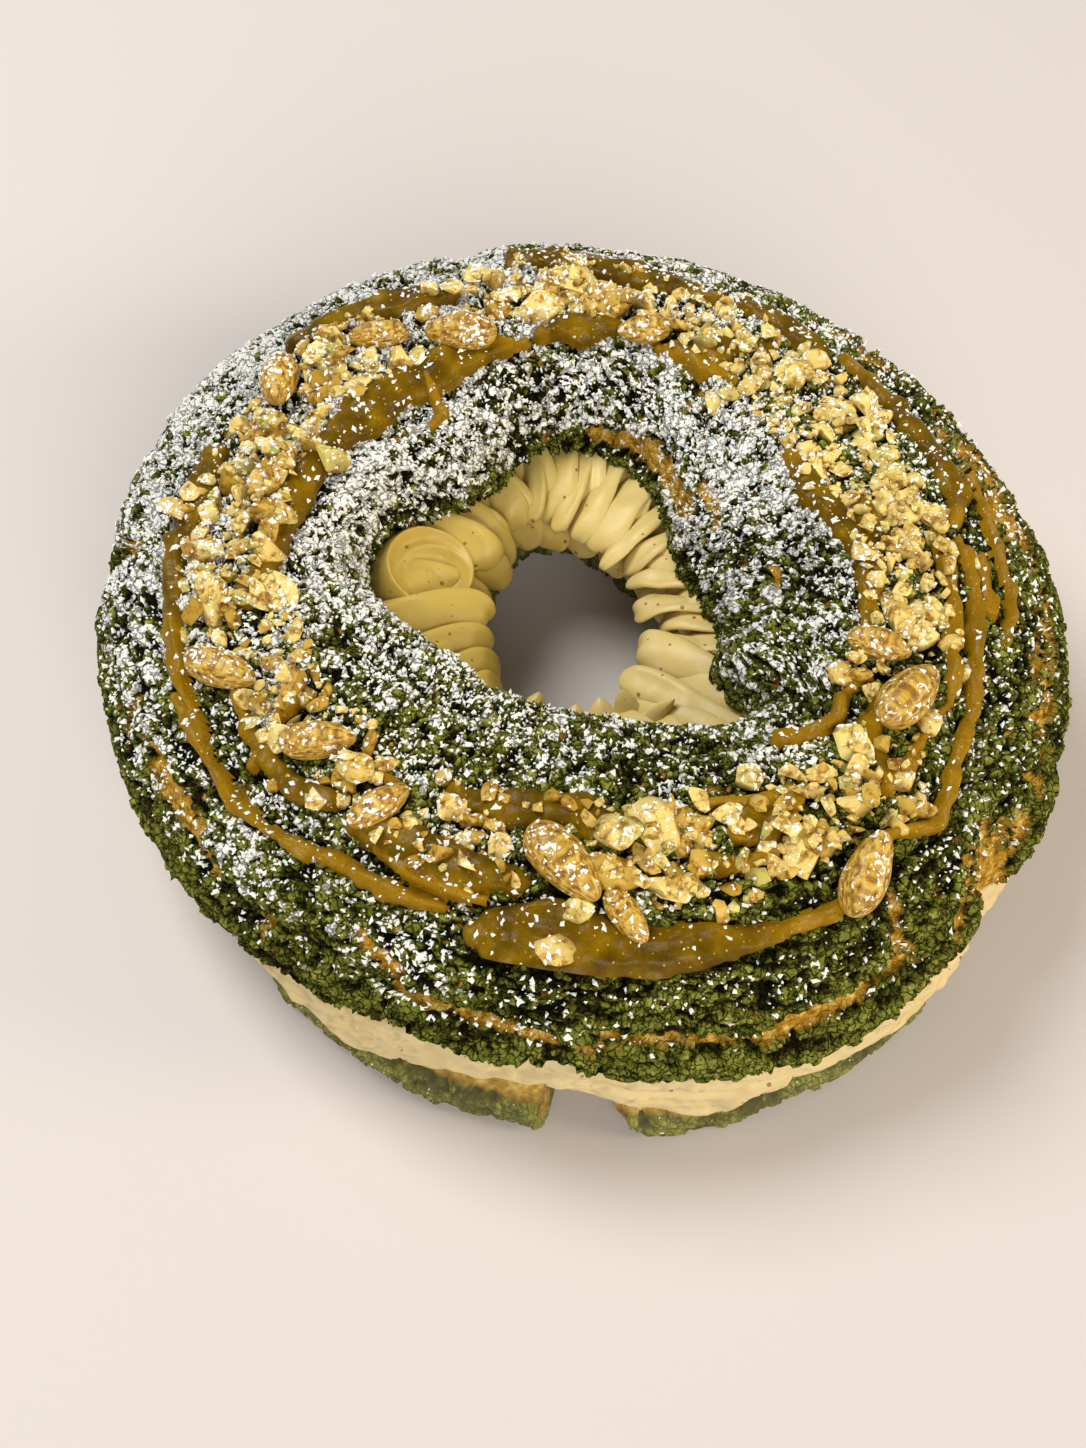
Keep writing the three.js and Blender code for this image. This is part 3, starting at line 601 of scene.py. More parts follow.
def crust_colours(s):
    """Green crumb with painted shade in its low pits, cracks and gaps between flakes, and browned choux
    where the crust is broken.
    """
    green = s.ramp(s.noise(2.4, 3), (0.3, (92, 100, 32)), (0.5, (134, 140, 56)), (0.72, (176, 176, 92)))
    sand = s.ramp(s.noise(0.55, 2, 0.6), (0.3, (150, 150, 120)), (0.5, (235, 235, 220)), (0.7, WHITE))
    # Painted shade: the crust is darker where its relief is low, in pits, cracks and between flakes.
    pits = s.ramp(s.value("lift"), (0.08, (70, 64, 26)), (0.34, (184, 180, 140)), (0.62, WHITE))
    shade = s.ramp(s.value("tone"), (0.15, (205, 205, 190)), (0.6, WHITE))
    gaps = s.mix(shards(s), (110, 106, 62), WHITE)
    choux = s.ramp(s.noise(2.2, 4, 0.6), (0.3, (116, 78, 10)), (0.5, (190, 144, 44)),
                   (0.7, (234, 202, 116)))
    return s.mix(s.value("choux"), s.multiply(green, sand, shade, pits, gaps), choux)


def powder_share(s, dust, size=2.6):
    """Where fine sugar lies: small ragged patches, more of them where the dust value is high."""
    ragged = s.plus(s.noise(size, 2, 0.55), s.times(s.noise(8, 1), 0.2))
    cover = s.plus(ragged, s.times(dust, 0.33))
    return s.ramp(s.minus(cover, 0.37), (0.49, 0.0), (0.52, 1.0))


def use_sugared(s, colour, powder, most=0.9):
    """Use a colour that powdered sugar covers in part."""
    s.use("Base Color", s.mix(s.times(powder, most), colour, SUGAR_WHITE))


def crust_material():
    s = Shader("green_crust")
    raised = s.times(s.minus(s.value("lift"), 0.5), 0.7)
    powder = powder_share(s, s.plus(s.value("dust"), raised))
    powder = s.times(powder, s.ramp(s.value("dust"), (0.04, 0.0), (0.15, 1.0)))
    powder = s.times(powder, s.plus(s.times(shards(s), 0.7), 0.3))
    use_sugared(s, crust_colours(s), powder, 0.94)
    s.set(Roughness=0.92, Specular_IOR_Level=0.1)
    grain = s.plus(s.noise(0.5, 2, 0.6), s.noise(1.1, 3, 0.65))
    s.bump(s.plus(grain, s.plus(s.times(powder, 0.6), shards(s))), 0.8, 0.5)
    return s.material


def praline_material():
    s = Shader("praline")
    tone = s.ramp(s.noise(6, 3), (0.3, (76, 54, 0)), (0.5, (104, 78, 0)), (0.7, (136, 104, 4)))
    tone = s.mix(s.times(s.value("thread"), 0.7), tone, (158, 118, 14))
    for spacing, reach, strength, colour in PRALINE_SPECKS:
        specks = s.math("LESS_THAN", s.cells(spacing), reach)
        tone = s.mix(s.times(specks, strength), tone, colour)
    s.use("Base Color", tone)
    s.set(Roughness=0.22, Specular_IOR_Level=0.12)
    s.bump(s.noise(0.9, 3, 0.6), 0.45, 0.4)
    return s.material


def nut_material():
    s = Shader("chopped_pistachio")
    flesh = s.ramp(s.value("tint"), (0.0, (172, 134, 34)), (0.3, (206, 172, 76)), (0.6, (236, 212, 130)),
                   (0.86, (232, 212, 124)), (1.0, (168, 162, 70)))
    grain = s.ramp(s.noise(2.0, 3, 0.65), (0.34, (176, 136, 60)), (0.5, WHITE))
    # Painted shade: each nut is darker towards its foot, where it sits among the others.
    shadow = s.ramp(s.value("foot"), (0.0, WHITE), (1.0, (132, 102, 36)))
    bark = s.ramp(s.noise(0.8, 3), (0.35, (98, 68, 16)), (0.6, (166, 126, 44)))
    patch = s.plus(s.value("skin"), s.times(s.noise(2.5, 2), 0.5))
    colour = s.mix(s.ramp(patch, (0.84, 0.0), (0.9, 0.9)), s.multiply(flesh, grain, shadow), bark)
    dust = s.minus(s.times(s.value("tint"), 0.5), s.times(s.value("foot"), 0.7))
    use_sugared(s, colour, powder_share(s, s.plus(dust, 0.08), 1.1))
    s.set(Roughness=0.5, Subsurface_Weight=0.05, Subsurface_Scale=0.0008, Specular_IOR_Level=0.25)
    s.set(Subsurface_Radius=(1.0, 0.8, 0.3))
    s.bump(s.noise(0.9, 2), 0.4, 0.35)
    return s.material


def kernel_material():
    s = Shader("pistachio_kernel")
    place = {0: s.times(s.value("along"), 1.6), 1: s.value("around"), 2: s.value("kernel")}
    place = s.node("ShaderNodeCombineXYZ", place).outputs[0]
    grain = {"Vector": place, "Scale": 3.6, "Detail": 3.0, "Roughness": 0.6}
    streaks = s.node("ShaderNodeTexNoise", grain).outputs["Fac"]
    skin = s.ramp(streaks, (0.3, (98, 60, 10)), (0.45, (158, 116, 32)), (0.56, (200, 162, 62)),
                  (0.72, (226, 196, 102)))
    use_sugared(s, skin, powder_share(s, s.minus(s.noise(4, 1), 0.1), 1.1))
    s.set(Roughness=0.45, Subsurface_Weight=0.1, Subsurface_Scale=0.001, Specular_IOR_Level=0.45)
    s.bump(streaks, 0.22, 0.4)
    return s.material


def cream_material():
    s = Shader("pistachio_cream")
    uneven = s.plus(s.noise(9, 2), s.times(s.noise(2.6, 3, 0.6), 0.6))
    shade = s.plus(s.value("golden"), s.times(s.minus(uneven, 0.78), 0.6))
    # Painted warm shade: the cream is darker and more golden at the left of the hole; the paler end of
    # the ramp is its own colour.
    tone = s.ramp(shade, (0.0, (214, 194, 144)), (0.35, (222, 198, 124)), (0.95, (198, 170, 80)))
    size = s.node("ShaderNodeSeparateColor", {"Color": s.cells(2.4, "Color")}).outputs[0]
    speck = s.math("LESS_THAN", s.cells(2.4), s.times(s.minus(size, 0.4), 0.36))
    s.use("Base Color", s.mix(s.times(speck, 0.85), tone, (136, 92, 26)))
    s.set(Roughness=0.42, Subsurface_Weight=0.15, Subsurface_Scale=0.0015, Specular_IOR_Level=0.4)
    s.set(Subsurface_Radius=(1.0, 0.75, 0.35))
    s.bump(s.noise(0.9, 3, 0.55), 0.18, 0.3)
    return s.material


def base_material():
    s = Shader("choux_base")
    powder = powder_share(s, s.times(s.value("lift"), 0.25), 0.9)
    # Painted light: the crust colour is lifted towards pale green for light bounced up onto the base from
    # below; the crust colours also bring painted shade into its low places.
    use_sugared(s, s.mix(0.22, crust_colours(s), (176, 172, 116)), powder)
    s.set(Roughness=0.85, Specular_IOR_Level=0.2)
    s.bump(s.noise(0.6, 3, 0.65), 0.6, 0.5)
    return s.material


def sugar_material():
    s = Shader("icing_sugar")
    s.use("Base Color", s.ramp(s.noise(1.5, 2), (0.3, (240, 238, 230)), (0.7, (255, 254, 250))))
    s.set(Roughness=0.9, Specular_IOR_Level=0.2, Subsurface_Weight=0.2, Subsurface_Scale=0.0005)
    s.bump(s.noise(0.4, 2), 0.3, 0.2)
    return s.material


# The crust


def dust_share(azimuth, arch):
    """How much of the surface the icing sugar covers at a place, from 0 to 1."""
    back_left = 0.5 + 0.5 * cos(azimuth - 140)
    slope = smoothstep(6, 44, arch) * (0.14 + 0.84 * back_left ** 1.3)
    top = smoothstep(90, 108, arch) * (0.44 + 0.44 * smoothstep(-0.6, 0.5, cos(azimuth - 70)))
    lip = 1 - 0.75 * smoothstep(162, 180, arch)
    return np.maximum(slope, top) * lip


def choux_share(azimuth, arch, points):
    """1 where the crust is broken away down to the choux, and 0 where it is whole."""
    share, width = stroke_share(azimuth, arch, CRACKS)
    ragged = noises(points, (0.75, 3.2, 41), (0.4, 1.1, 43))
    cracks = smoothstep(0.05, -0.25, (share - 1) * np.minimum(width, 1.5) / 1.5 + ragged)
    thin = np.zeros_like(azimuth)
    for at, height, half_turn, half_arch in THIN_CRUST:
        away = np.hypot(turn_between(azimuth, at) / half_turn, (arch - height) / half_arch)
        thin = np.maximum(thin, smoothstep(1, 0.3, away))
    holes = noises(points + 50, (0.6, 3, 45), (0.4, 1.2, 47))
    broken = nick_depth(azimuth) * cos(np.minimum(arch, 90)) ** 2 + 2 * holes
    bare = np.maximum(smoothstep(0.58, 0.7, holes + 0.8 * thin), smoothstep(1.6, 2.4, broken))
    return np.maximum(cracks, bare)


def unrolled(azimuth, across):
    """Places for noise that is stretched along the ring."""
    return around_ring(azimuth, UNROLLED_RADIUS, ALONG_STRETCH * across)


def crust_relief(places, choux):
    """Height over the surface, of uneven flakes with pits and cracks between them, and the values
    that the colours of the crust need."""
    warp = np.stack([soft_noise(places, 4, 11 + k) for k in range(3)], axis=-1)
    bent = places + 1.5 * warp + 0.5 * np.roll(warp, 1, axis=-1)
    _, plate_gap, plate = crumbs(bent, 8, 21)
    _, flake_gap, flake = crumbs(bent + 5, 2.6, 31)
    cracked = smoothstep(-0.1, 0.3, soft_noise(places, 9, 35))
    plates = 0.9 * (plate - 0.5) - 1.2 * smoothstep(0.1, 0.03, plate_gap) * cracked
    flakes = 0.8 * (flake - 0.5) + 0.6 * smoothstep(0.03, 0.14, flake_gap) - 0.3
    pits = smoothstep(-0.14, -0.26, noises(bent, (0.6, 2.4, 45), (0.4, 1.2, 47)))
    crust = plates + flakes + 0.5 * soft_noise(places, 12, 51) - 1.3 * pits
    bare = noises(places, (0.4, 1.8, 61), (0.3, 5, 63)) - 1.5
    relief = crust * (1 - choux) + bare * choux
    # lift, from the lowest relief to the highest, also sets the painted shade in the crust's low places.
    lift = smoothstep(-1.3, 1.1, relief)
    return relief, {"lift": lift, "tone": 0.6 * flake + 0.4 * plate, "choux": choux}


def crust_grid(arches, columns):
    """Points of the crust in rows, its lower edge in scallops, and the values for its colours."""
    azimuth, arch = np.meshgrid(np.arange(columns) * 360 / columns, arches)
    azimuth, arch = azimuth.ravel(), arch.ravel()
    points = creased(azimuth, arch)
    choux = choux_share(azimuth, arch, points)
    relief, values = crust_relief(unrolled(azimuth, ARCH_MILLIMETRES * arch), choux)
    points = points + crown_axes(azimuth, arch)[2] * relief[:, None]
    _, between, scallop = crumbs(points * np.array([1, 1, 0.3]), 4.5, 75)
    scallop = 2.4 * (scallop - 0.5) * smoothstep(0, 0.12, between)
    points[:, 2] += (scallop + 0.8 * soft_noise(points, 1.8, 73) + 0.5) * bell(arch, 9)
    return points, {**values, "dust": dust_share(azimuth, arch)}


def crust_half(name, start, end, columns, material):
    """One half of the crust between two arches, and its points in rows."""
    arches = even_arches(start, end, CRUST_STEP)
    points, values = crust_grid(arches, columns)
    half = mesh_piece(name, points, ring_faces(len(arches), columns), material, **values)
    return half, points.reshape(len(arches), columns, 3)


def make_crust(material):
    """The crust's outer and inner halves, and the cut face under it."""
    outer, outer_rows = crust_half("crust_outer", 0, SEAM_ARCH, CRUST_COLUMNS, material)
    inner, inner_rows = crust_half("crust_inner", SEAM_ARCH, 180, INNER_COLUMNS, material)
    rim = outer_rows[0]
    lip = inner_rows[-1][np.arange(CRUST_COLUMNS) * INNER_COLUMNS // CRUST_COLUMNS]
    shares = np.linspace(0, 1, CUT_ROWS)
    cut = lip * (1 - shares[:, None, None]) + rim * shares[:, None, None]
    even = np.full(CUT_ROWS * CRUST_COLUMNS, 0.5)
    inside_rim = np.repeat(shares < 0.95, CRUST_COLUMNS)
    values = {"lift": even, "tone": even, "choux": inside_rim, "dust": 0 * even}
    faces = ring_faces(CUT_ROWS, CRUST_COLUMNS)
    mesh_piece("crown_underside", cut.reshape(-1, 3), faces, material, **values)
    return outer, inner


# Praline


def make_praline(material):
    """Streaks of praline with rounded backs. Where they are thin they run out in knots and gaps."""
    around = np.arange(PRALINE_COLUMNS) * 360 / PRALINE_COLUMNS
    azimuth, arch = np.meshgrid(around, even_arches(*PRALINE_ARCHES, 0.5))
    share, width = stroke_share(azimuth, arch, STROKES)
    points = on_crown(azimuth, arch)
    knots = smoothstep(3.6, 1.6, width) * soft_noise(points, 3.4, 87)
    wander = 0.24 * soft_noise(points, 2, 83) * np.clip(2 / width, 0.3, 1)
    share = share + 0.3 * soft_noise(points, 6, 81) + wander - 0.36 * knots
    bulk = PRALINE_HEIGHT * np.minimum(1, 0.6 + width / 5)
    bulk = bulk * (1 + 0.3 * soft_noise(points, 5, 85) + 0.6 * knots)
    dome = bulk * np.sqrt(np.clip(1 - share ** 4, 0, 1))
    outside = np.clip((share - 1) * width, 0, 9)
    ripple = 0.2 * np.sin(arch * 0.9 + 3 * soft_noise(points, 12, 93))
    ripple = ripple + 0.5 * soft_noise(points, 2.6, 91)
    crease = sum(0.4 * bell(arch - at, 6) for at in FURROWS)
    height = dome - 0.1 - 2.2 * outside + ripple * smoothstep(1.1, 0.7, share) - crease
    points = points + crown_axes(azimuth, arch)[2] * height[..., None]
    faces = ring_faces(*azimuth.shape)
    shown = (height > -PRALINE_MARGIN).ravel()
    used, index = np.unique(faces[shown[faces].all(axis=1)], return_inverse=True)
    points = points.reshape(-1, 3)[used]
    thread = smoothstep(2.8, 1.3, width).ravel()[used]
    return mesh_piece("praline", points, index.reshape(-1, 4), material, thread=thread)


# Chopped nuts


def scatter_chips():
    """The largest chopped nuts: azimuth, arch, heading, lean and size, where the solids have them."""
    random = seeded(CHIP_SEED)
    placed = []
    spots = [(on_crown(azimuth, arch), 0.46 * length) for azimuth, arch, length, _ in KERNELS]
    while len(placed) < CHIP_COUNT:
        rank = len(placed) / CHIP_COUNT
        size = CHIP_LARGEST + (CHIP_SMALLEST - CHIP_LARGEST) * rank ** 0.6
        azimuth = 360 * random() - 180
        spread = (random() + random() - 1) * CHIP_BAND
        arch = round_table(NUT_BAND, azimuth) + spread
        heading, lean = 360 * random(), random()
        at = on_crown(azimuth, arch)
        if all(np.linalg.norm(at - other) > 0.5 * size + radius for other, radius in spots):
            placed.append((azimuth, arch, heading, lean, size))
            spots.append((at, 0.4 * size))
    return placed


def crown_place(azimuth, arch, heading, height):
    """Axes and origin of a thing on the crown: X along its heading and Z outwards."""
    along, across, out, _ = crown_axes(azimuth, arch)
    x = along * cos(heading) - across * sin(heading)
    y = unit(np.cross(out, x))
    return np.stack([x, y, out]), on_crown(azimuth, arch) + out * height


def sphere_points(subdivisions):
    mesh = bmesh.new()
    bmesh.ops.create_icosphere(mesh, subdivisions=subdivisions, radius=1)
    points = np.array([vertex.co for vertex in mesh.verts])
    mesh.free()
    return points


def hull_mesh(corners, bevel):
    """A convex lump round some corners, with its edges and corners rounded off."""
    mesh = bmesh.new()
    for corner in corners:
        mesh.verts.new(corner)
    hull = bmesh.ops.convex_hull(mesh, input=mesh.verts)
    loose = [v for v in hull["geom_interior"] if isinstance(v, bmesh.types.BMVert)]
    bmesh.ops.delete(mesh, geom=loose, context="VERTS")
    bmesh.ops.dissolve_limit(mesh, angle_limit=math.radians(12), verts=mesh.verts, edges=mesh.edges)
    if bevel:
        bmesh.ops.bevel(mesh, geom=list(mesh.edges) + list(mesh.verts), offset=bevel, segments=2,
                        profile=0.6, affect="EDGES", clamp_overlap=True)
    bmesh.ops.triangulate(mesh, faces=mesh.faces)
    bmesh.ops.recalc_face_normals(mesh, faces=mesh.faces)
    mesh.verts.index_update()
    points = np.array([vertex.co for vertex in mesh.verts])
    faces = np.array([[vertex.index for vertex in face.verts] for face in mesh.faces])
    mesh.free()
    return points, faces


def nut_shapes(count, random, subdivisions):
    """Broken nuts of unit length: ellipsoids with a few flat breaks, and 1 where the skin is left."""
    sphere = sphere_points(subdivisions)
    shapes = []
    for _ in range(count):
        points = sphere * (1 + 0.1 * soft_noise(sphere + 9 * random(), 0.8)[:, None])
        for _ in range(6):
            facing = unit(np.array([random() - 0.5, random() - 0.5, 0.9 * random() - 0.35]))
            beyond = points @ facing - (0.22 + 0.42 * random())
            points = points - np.maximum(beyond, 0)[:, None] * facing
        stretch = np.array([0.66, 0.44 + 0.16 * random(), 0.3 + 0.18 * random()])
        points, faces = hull_mesh(points * stretch, 0)
        whole = smoothstep(0.86, 0.94, np.linalg.norm(points / stretch, axis=1))
        shapes.append((points, faces, whole))
    return shapes


def rolled(points, first, second, turn):
    """Points turned from one of their axes towards another, in radians."""
    made = points.copy()
    made[:, first] = points[:, first] * math.cos(turn) - points[:, second] * math.sin(turn)
    made[:, second] = points[:, first] * math.sin(turn) + points[:, second] * math.cos(turn)
    return made


def add_nut(heap, points, faces, size, azimuth, axes, origin, tint, skin):
    """Add one nut, with painted shade that darkens it towards its foot. Nuts on the right are paler and
    lie in more sugar.
    """
    foot = smoothstep(0.02, -0.3, points[:, 2] / size)
    tint = tint + 0.45 * (0.86 - tint) * max(0, cos(azimuth - 20))
    heap.add(points @ axes + origin, faces, tint=tint, skin=skin, foot=foot)


def add_big_chips(heap):
    corners = sphere_points(1)
    for number, (azimuth, arch, heading, lean, size) in enumerate(scatter_chips()):
        random = seeded(900 + number)
        stretch = np.array([0.55 + 0.12 * random(), 0.36 + 0.1 * random(), 0.3 + 0.1 * random()])
        rough = np.array([[0.82 + 0.36 * random()] for _ in corners])
        points, faces = hull_mesh(corners * rough * stretch * size, 0.03 * size)
        points = rolled(points, 2, 0, CHIP_LEAN * (lean - 0.5))
        axes, origin = crown_place(azimuth, arch, heading, 0.1 * size - FURROW[0] / 3)
        add_nut(heap, points, faces, size, azimuth, axes, origin, random(), random() * 0.62)


def drop_nut(heap, ground, shape, size, place, roll, tint, skin):
    """Lay one nut on whatever is under it: place is its azimuth, arch and heading."""
    points, faces, whole = shape
    points = rolled(points * size, 1, 2, math.radians(roll))
    axes, origin = crown_place(*place, 0)
    start = Vector(to_row(origin + axes[2] * 15))
    hit = ground.ray_cast(start, Vector(-axes[2]))[0]
    if hit is not None:
        origin = np.array(hit) * 1000 + RING_CENTRE + axes[2] * size * NUT_RISE
    skin = skin * (0.35 + 0.65 * whole)
    add_nut(heap, points, faces, size, place[0], axes, origin, tint, skin)


def add_chunks(heap, ground):
    random = seeded(41)
    shapes = nut_shapes(30, random, 3)
    for number, (azimuth, arch, length, heading) in enumerate(CHUNKS):
        if on_kernel(azimuth, arch):
            continue
        shape, place = shapes[number % len(shapes)], (azimuth, arch, heading)
        roll, tint, skin = 50 * random() - 25, random(), 0.66 * random()
        drop_nut(heap, ground, shape, 1.08 * length, place, roll, tint, skin)


def on_kernel(azimuth, arch):
    """Whether a place lies on a whole kernel."""
    at = on_crown(azimuth, arch)
    for *place, length, heading in KERNELS:
        axes, middle = crown_place(*place, heading, 0)
        x, y, _ = axes @ (at - middle)
        if np.hypot(x, y / KERNEL_BREADTH) < 0.62 * length:
            return True
    return False


def add_heaps(heap, ground, share, largest, smallest, subdivisions, random):
    """Small nuts dropped on the heaps, each at its own spot beside the others of its size."""
    shapes = nut_shapes(24, random, subdivisions)
    spots, reaches = [], []
    for azimuth, arch, half_turn, half_arch, count in HEAPS:
        for _ in range(round(share * count)):
            place = (azimuth + (random() + random() - 1) * 1.4 * half_turn,
                     arch + (random() + random() - 1) * 1.4 * half_arch, 360 * random())
            size = smallest + (largest - smallest) * random() ** 1.7
            roll, tint, skin = 72 * random() - 36, random(), 0.66 * random()
            shape = shapes[int(random() * len(shapes))]
            at = on_crown(*place[:2])
            reach = NUT_ROOM * size
            near = spots and np.linalg.norm(np.array(spots) - at, axis=1) < np.array(reaches) + reach
            if np.any(near) or on_kernel(*place[:2]):
                continue
            spots.append(at)
            reaches.append(reach)
            drop_nut(heap, ground, shape, size, place, roll, tint, skin)


def ground_tree(*objects):
    """One search tree of the faces of some pieces, in the row frame in metres."""
    points, faces, total = [], [], 0
    for piece in objects:
        mesh = piece.data
        flat = np.empty(len(mesh.vertices) * 3, np.float32)
        mesh.vertices.foreach_get("co", flat)
        points.append(flat.reshape(-1, 3))
        faces += [[index + total for index in face.vertices] for face in mesh.polygons]
        total += len(mesh.vertices)
    return BVHTree.FromPolygons(np.concatenate(points).tolist(), faces)


def nut_piece(heap, name, material):
    piece = heap.piece(name, material)
    piece.data.set_sharp_from_angle(angle=math.radians(20))
    return piece


def make_nuts(material, ground_pieces):
    """The large nuts, and then smaller ones dropped on what lies there already."""
    heap = Heap()
    add_big_chips(heap)
    add_chunks(heap, ground_tree(*ground_pieces))
    nuts = [nut_piece(heap, "large_chopped_nuts", material)]
    random = seeded(77)
    for name, *sizes in SMALL_NUTS:
        heap = Heap()
        add_heaps(heap, ground_tree(*ground_pieces, *nuts), *sizes, random)
        nuts.append(nut_piece(heap, name, material))
    return nuts


# Whole kernels


def make_kernel(number, azimuth, arch, length, heading, material, rings=52, sides=44):
    """A whole kernel: blunt at one end, with a seam along it, wrinkles and a keel on top."""
    a, b, c = length / 2, length * KERNEL_BREADTH / 2, length * KERNEL_THICKNESS / 2
    pole, turn = np.meshgrid(np.linspace(0, 180, rings), np.arange(sides) * 360 / sides, indexing="ij")
    x, y, z = -cos(pole), sin(pole) * cos(turn), sin(pole) * sin(turn)
    point = 1 - 0.16 * x
    keel = 1 + 0.08 * smoothstep(0.4, 0.9, z)
    shape = np.stack([x * a, y * point * b, z * point * keel * c], axis=-1)
    lines = np.stack([x * 1.5, turn / 30, np.full_like(x, 7 * number)], axis=-1)
    wrinkle = soft_noise(lines, 1.3, 101)
    dent = soft_noise(shape + 31 * number, 5, 105)
    seam = bell(turn_between(turn, 70 + 25 * sin(71 * number)), 7) * sin(pole) ** 0.5
    lift = 0.1 * wrinkle * sin(pole) + 0.3 * dent - 0.35 * seam
    shape = shape + unit(shape / np.array([a * a, b * b, c * c])) * lift[..., None]
    axes, origin = crown_place(azimuth, arch, heading, c * (1 - KERNEL_SUNK))
    points = shape.reshape(-1, 3) @ axes + origin
    values = {"along": x, "around": 2 * sin(turn), "kernel": np.full_like(x, number)}
    return mesh_piece(f"pistachio_{number}", points, ring_faces(rings, sides), material,
                      [f"kernel_{number}"], "pistachio_kernel", **values)


# Cream


def make_cream(material):
    """The band outside and the rope in the hole, with petals, peaks and the rosette before them."""
    azimuth = np.arange(CREAM_COLUMNS) * -360 / CREAM_COLUMNS
    rows = [*cream_band_rows(azimuth), *rope_rows(azimuth)]
    lumps = [(np.concatenate(rows), ring_faces(len(rows), CREAM_COLUMNS, closed_rows=True))]
    lumps += [petal_shape(number, *petal) for number, petal in enumerate([*PETALS, *LOWER_PETALS])]
    lumps += [peak_shape(*peak) for peak in PEAKS]
    lumps.append(rosette_shape())
    heap = Heap()
    for points, faces in lumps:
        heap.add(points, facing_out(points, faces), golden=golden_share(points))
    return heap.piece("piped_cream", material, ["cream"], "pistachio_cream")


def golden_share(points):
    """Painted warm shade on the cream, from 0 to 1: none outside, and most at the left of the hole, where
    the cream is shown darker and more golden.
    """
    x, y, _ = points.T
    turn = np.degrees(np.arctan2(y, x))
    return np.where(np.hypot(x, y) > 70, 0, 0.3 + 0.7 * smoothstep(-0.2, 0.9, cos(turn - 172)))


def facing_out(points, faces):
    """The faces of a closed lump, turned round if they face inwards."""
    a, b, c = (points[faces[:, k]] for k in range(3))
    volume = np.sum(a * np.cross(b, c))
    return faces[:, ::-1] if volume < 0 else faces


def cream_band_rows(azimuth, steps=28):
    """Rows of the band of cream that shows at the outside, from under it up to the crown."""
    outer = outer_radius(azimuth) - 0.5 - round_table(CREAM_INSET, azimuth) - 0.6 * nick_depth(azimuth)
    back = outer_radius(azimuth) - CREAM_BAND_DEPTH
    rim = around_ring(azimuth, OUTER_RADIUS, 0)
    edge = round_table(CREAM_EDGE, azimuth) + noises(rim, (1.5, 9, 119), (0.6, 3, 121))
    top = round_table(CROWN_EDGE, azimuth) + 0.6
    rows = [around_ring(azimuth, back - 1, BASE_HEIGHT + 0.3)]
    rows.append(around_ring(azimuth, back, np.minimum(edge + 1, BASE_HEIGHT - 0.5)))
    for share in np.linspace(0, 1, steps):
        height = edge + (top - edge) * share
        bow = np.sqrt(np.clip(1 - (2 * share - 1) ** 6, 0, 1))
        radius = outer - 2.4 * (1 - bow) - 0.9 * share
        smear, facets = cream_smear(azimuth, radius, height, share)
        rows.append(around_ring(azimuth, radius + smear * bow, height + 0.5 * facets * (1 - share)))
    return rows


def cream_smear(azimuth, radius, height, share):
    """How far out the spread cream stands at one height of the band, and its flat facets."""
    spread = around_ring(azimuth, OUTER_RADIUS, 2.4 * height)
    facets = 1 - 2 * np.abs(soft_noise(spread, 8, 111))
    near, _, owner = crumbs(around_ring(azimuth, radius, height), 2.4, 115)
    pits = bell(near, 0.2) * (owner > 0.55)
    folds = bell(soft_noise(spread * np.array([1, 1, 1.6]), 5, 117), 0.1)
    crease = bell(share - 0.5, 0.09) * bell(turn_between(azimuth, -78), 17)
    smear = 0.9 * facets - 1.3 * crease + 0.25 * soft_noise(spread, 2, 113) - 0.8 * pits - folds
    return smear, facets


def rope_rows(azimuth, steps=20):
    """Rows of the rope of cream behind the petals, from the crown down to the base."""
    cream = round_table(CREAM_HOLE, azimuth) + ROPE_SET_BACK + 0.6 * waviness(azimuth, 20)
    tucked = round_table(CROWN_HOLE, azimuth) + 3
    foot = np.maximum(round_table(BASE_HOLE, azimuth) + 1, cream + 2)
    rows = []
    for turn in np.linspace(90, -60, steps + 1):
        if turn > 0:
            radius = tucked - (tucked - cream) * cos(turn) ** 1.5
            height = ROPE_BELLY + (36 - ROPE_BELLY) * sin(turn)
        else:
            radius = cream + (foot - cream) * (1 - cos(turn)) * 2
            height = ROPE_BELLY - (ROPE_BELLY - BASE_HEIGHT - 0.2) * sin(-turn) / sin(60)
        smear = noises(around_ring(azimuth, radius, height), (0.6, 6, 213), (0.2, 1.8, 215))
        rows.append(around_ring(azimuth, radius - smear * cos(turn), height))
    return rows


def petal_path(share, lip, tip, tip_radius, tip_height):
    """A petal's azimuths and its middle line, from under the crown to its tip."""
    azimuth = lip + (tip - lip) * smoothstep(-0.15, 1, share)
    tucked = round_table(CROWN_HOLE, azimuth) + PETAL_TUCK
    turn = 96 - 108 * share
    roof = np.maximum(cut_height(azimuth, tucked) - 0.8, tip_height + 4)
    radius = tucked - (tucked - tip_radius) * power(cos(turn), 0.85) * cos(turn[-1]) ** -0.85
    height = tip_height + np.where(turn > 0, roof - tip_height, 6) * sin(turn)
    return azimuth, around_ring(azimuth, radius, height)


def petal_axes(azimuth, path, crest, tilt):
    """Axes across a petal and out of it, tilted so that the side of its crest is raised."""
    along = unit(np.gradient(path, axis=0))
    across = around_ring(azimuth + 90, 1, 0) * crest
    across = unit(across - along * np.sum(across * along, axis=-1, keepdims=True))
    out = np.cross(across, along) * crest
    return across * cos(tilt) + out * sin(tilt), out * cos(tilt) - across * sin(tilt)


def petal_taper(share, pointed):
    """How wide and thick a petal is along its length, from 0 to 1."""
    start = 0.62 - 0.3 * pointed
    end = np.clip((share - start) / (1 - start), 0, 1)
    taper = (1 - end ** (2.4 - 1.2 * pointed)) ** (0.5 + 0.35 * pointed)
    return taper * smoothstep(-0.02, 0.05, share) * (0.78 + 0.22 * smoothstep(0, 0.5, share))


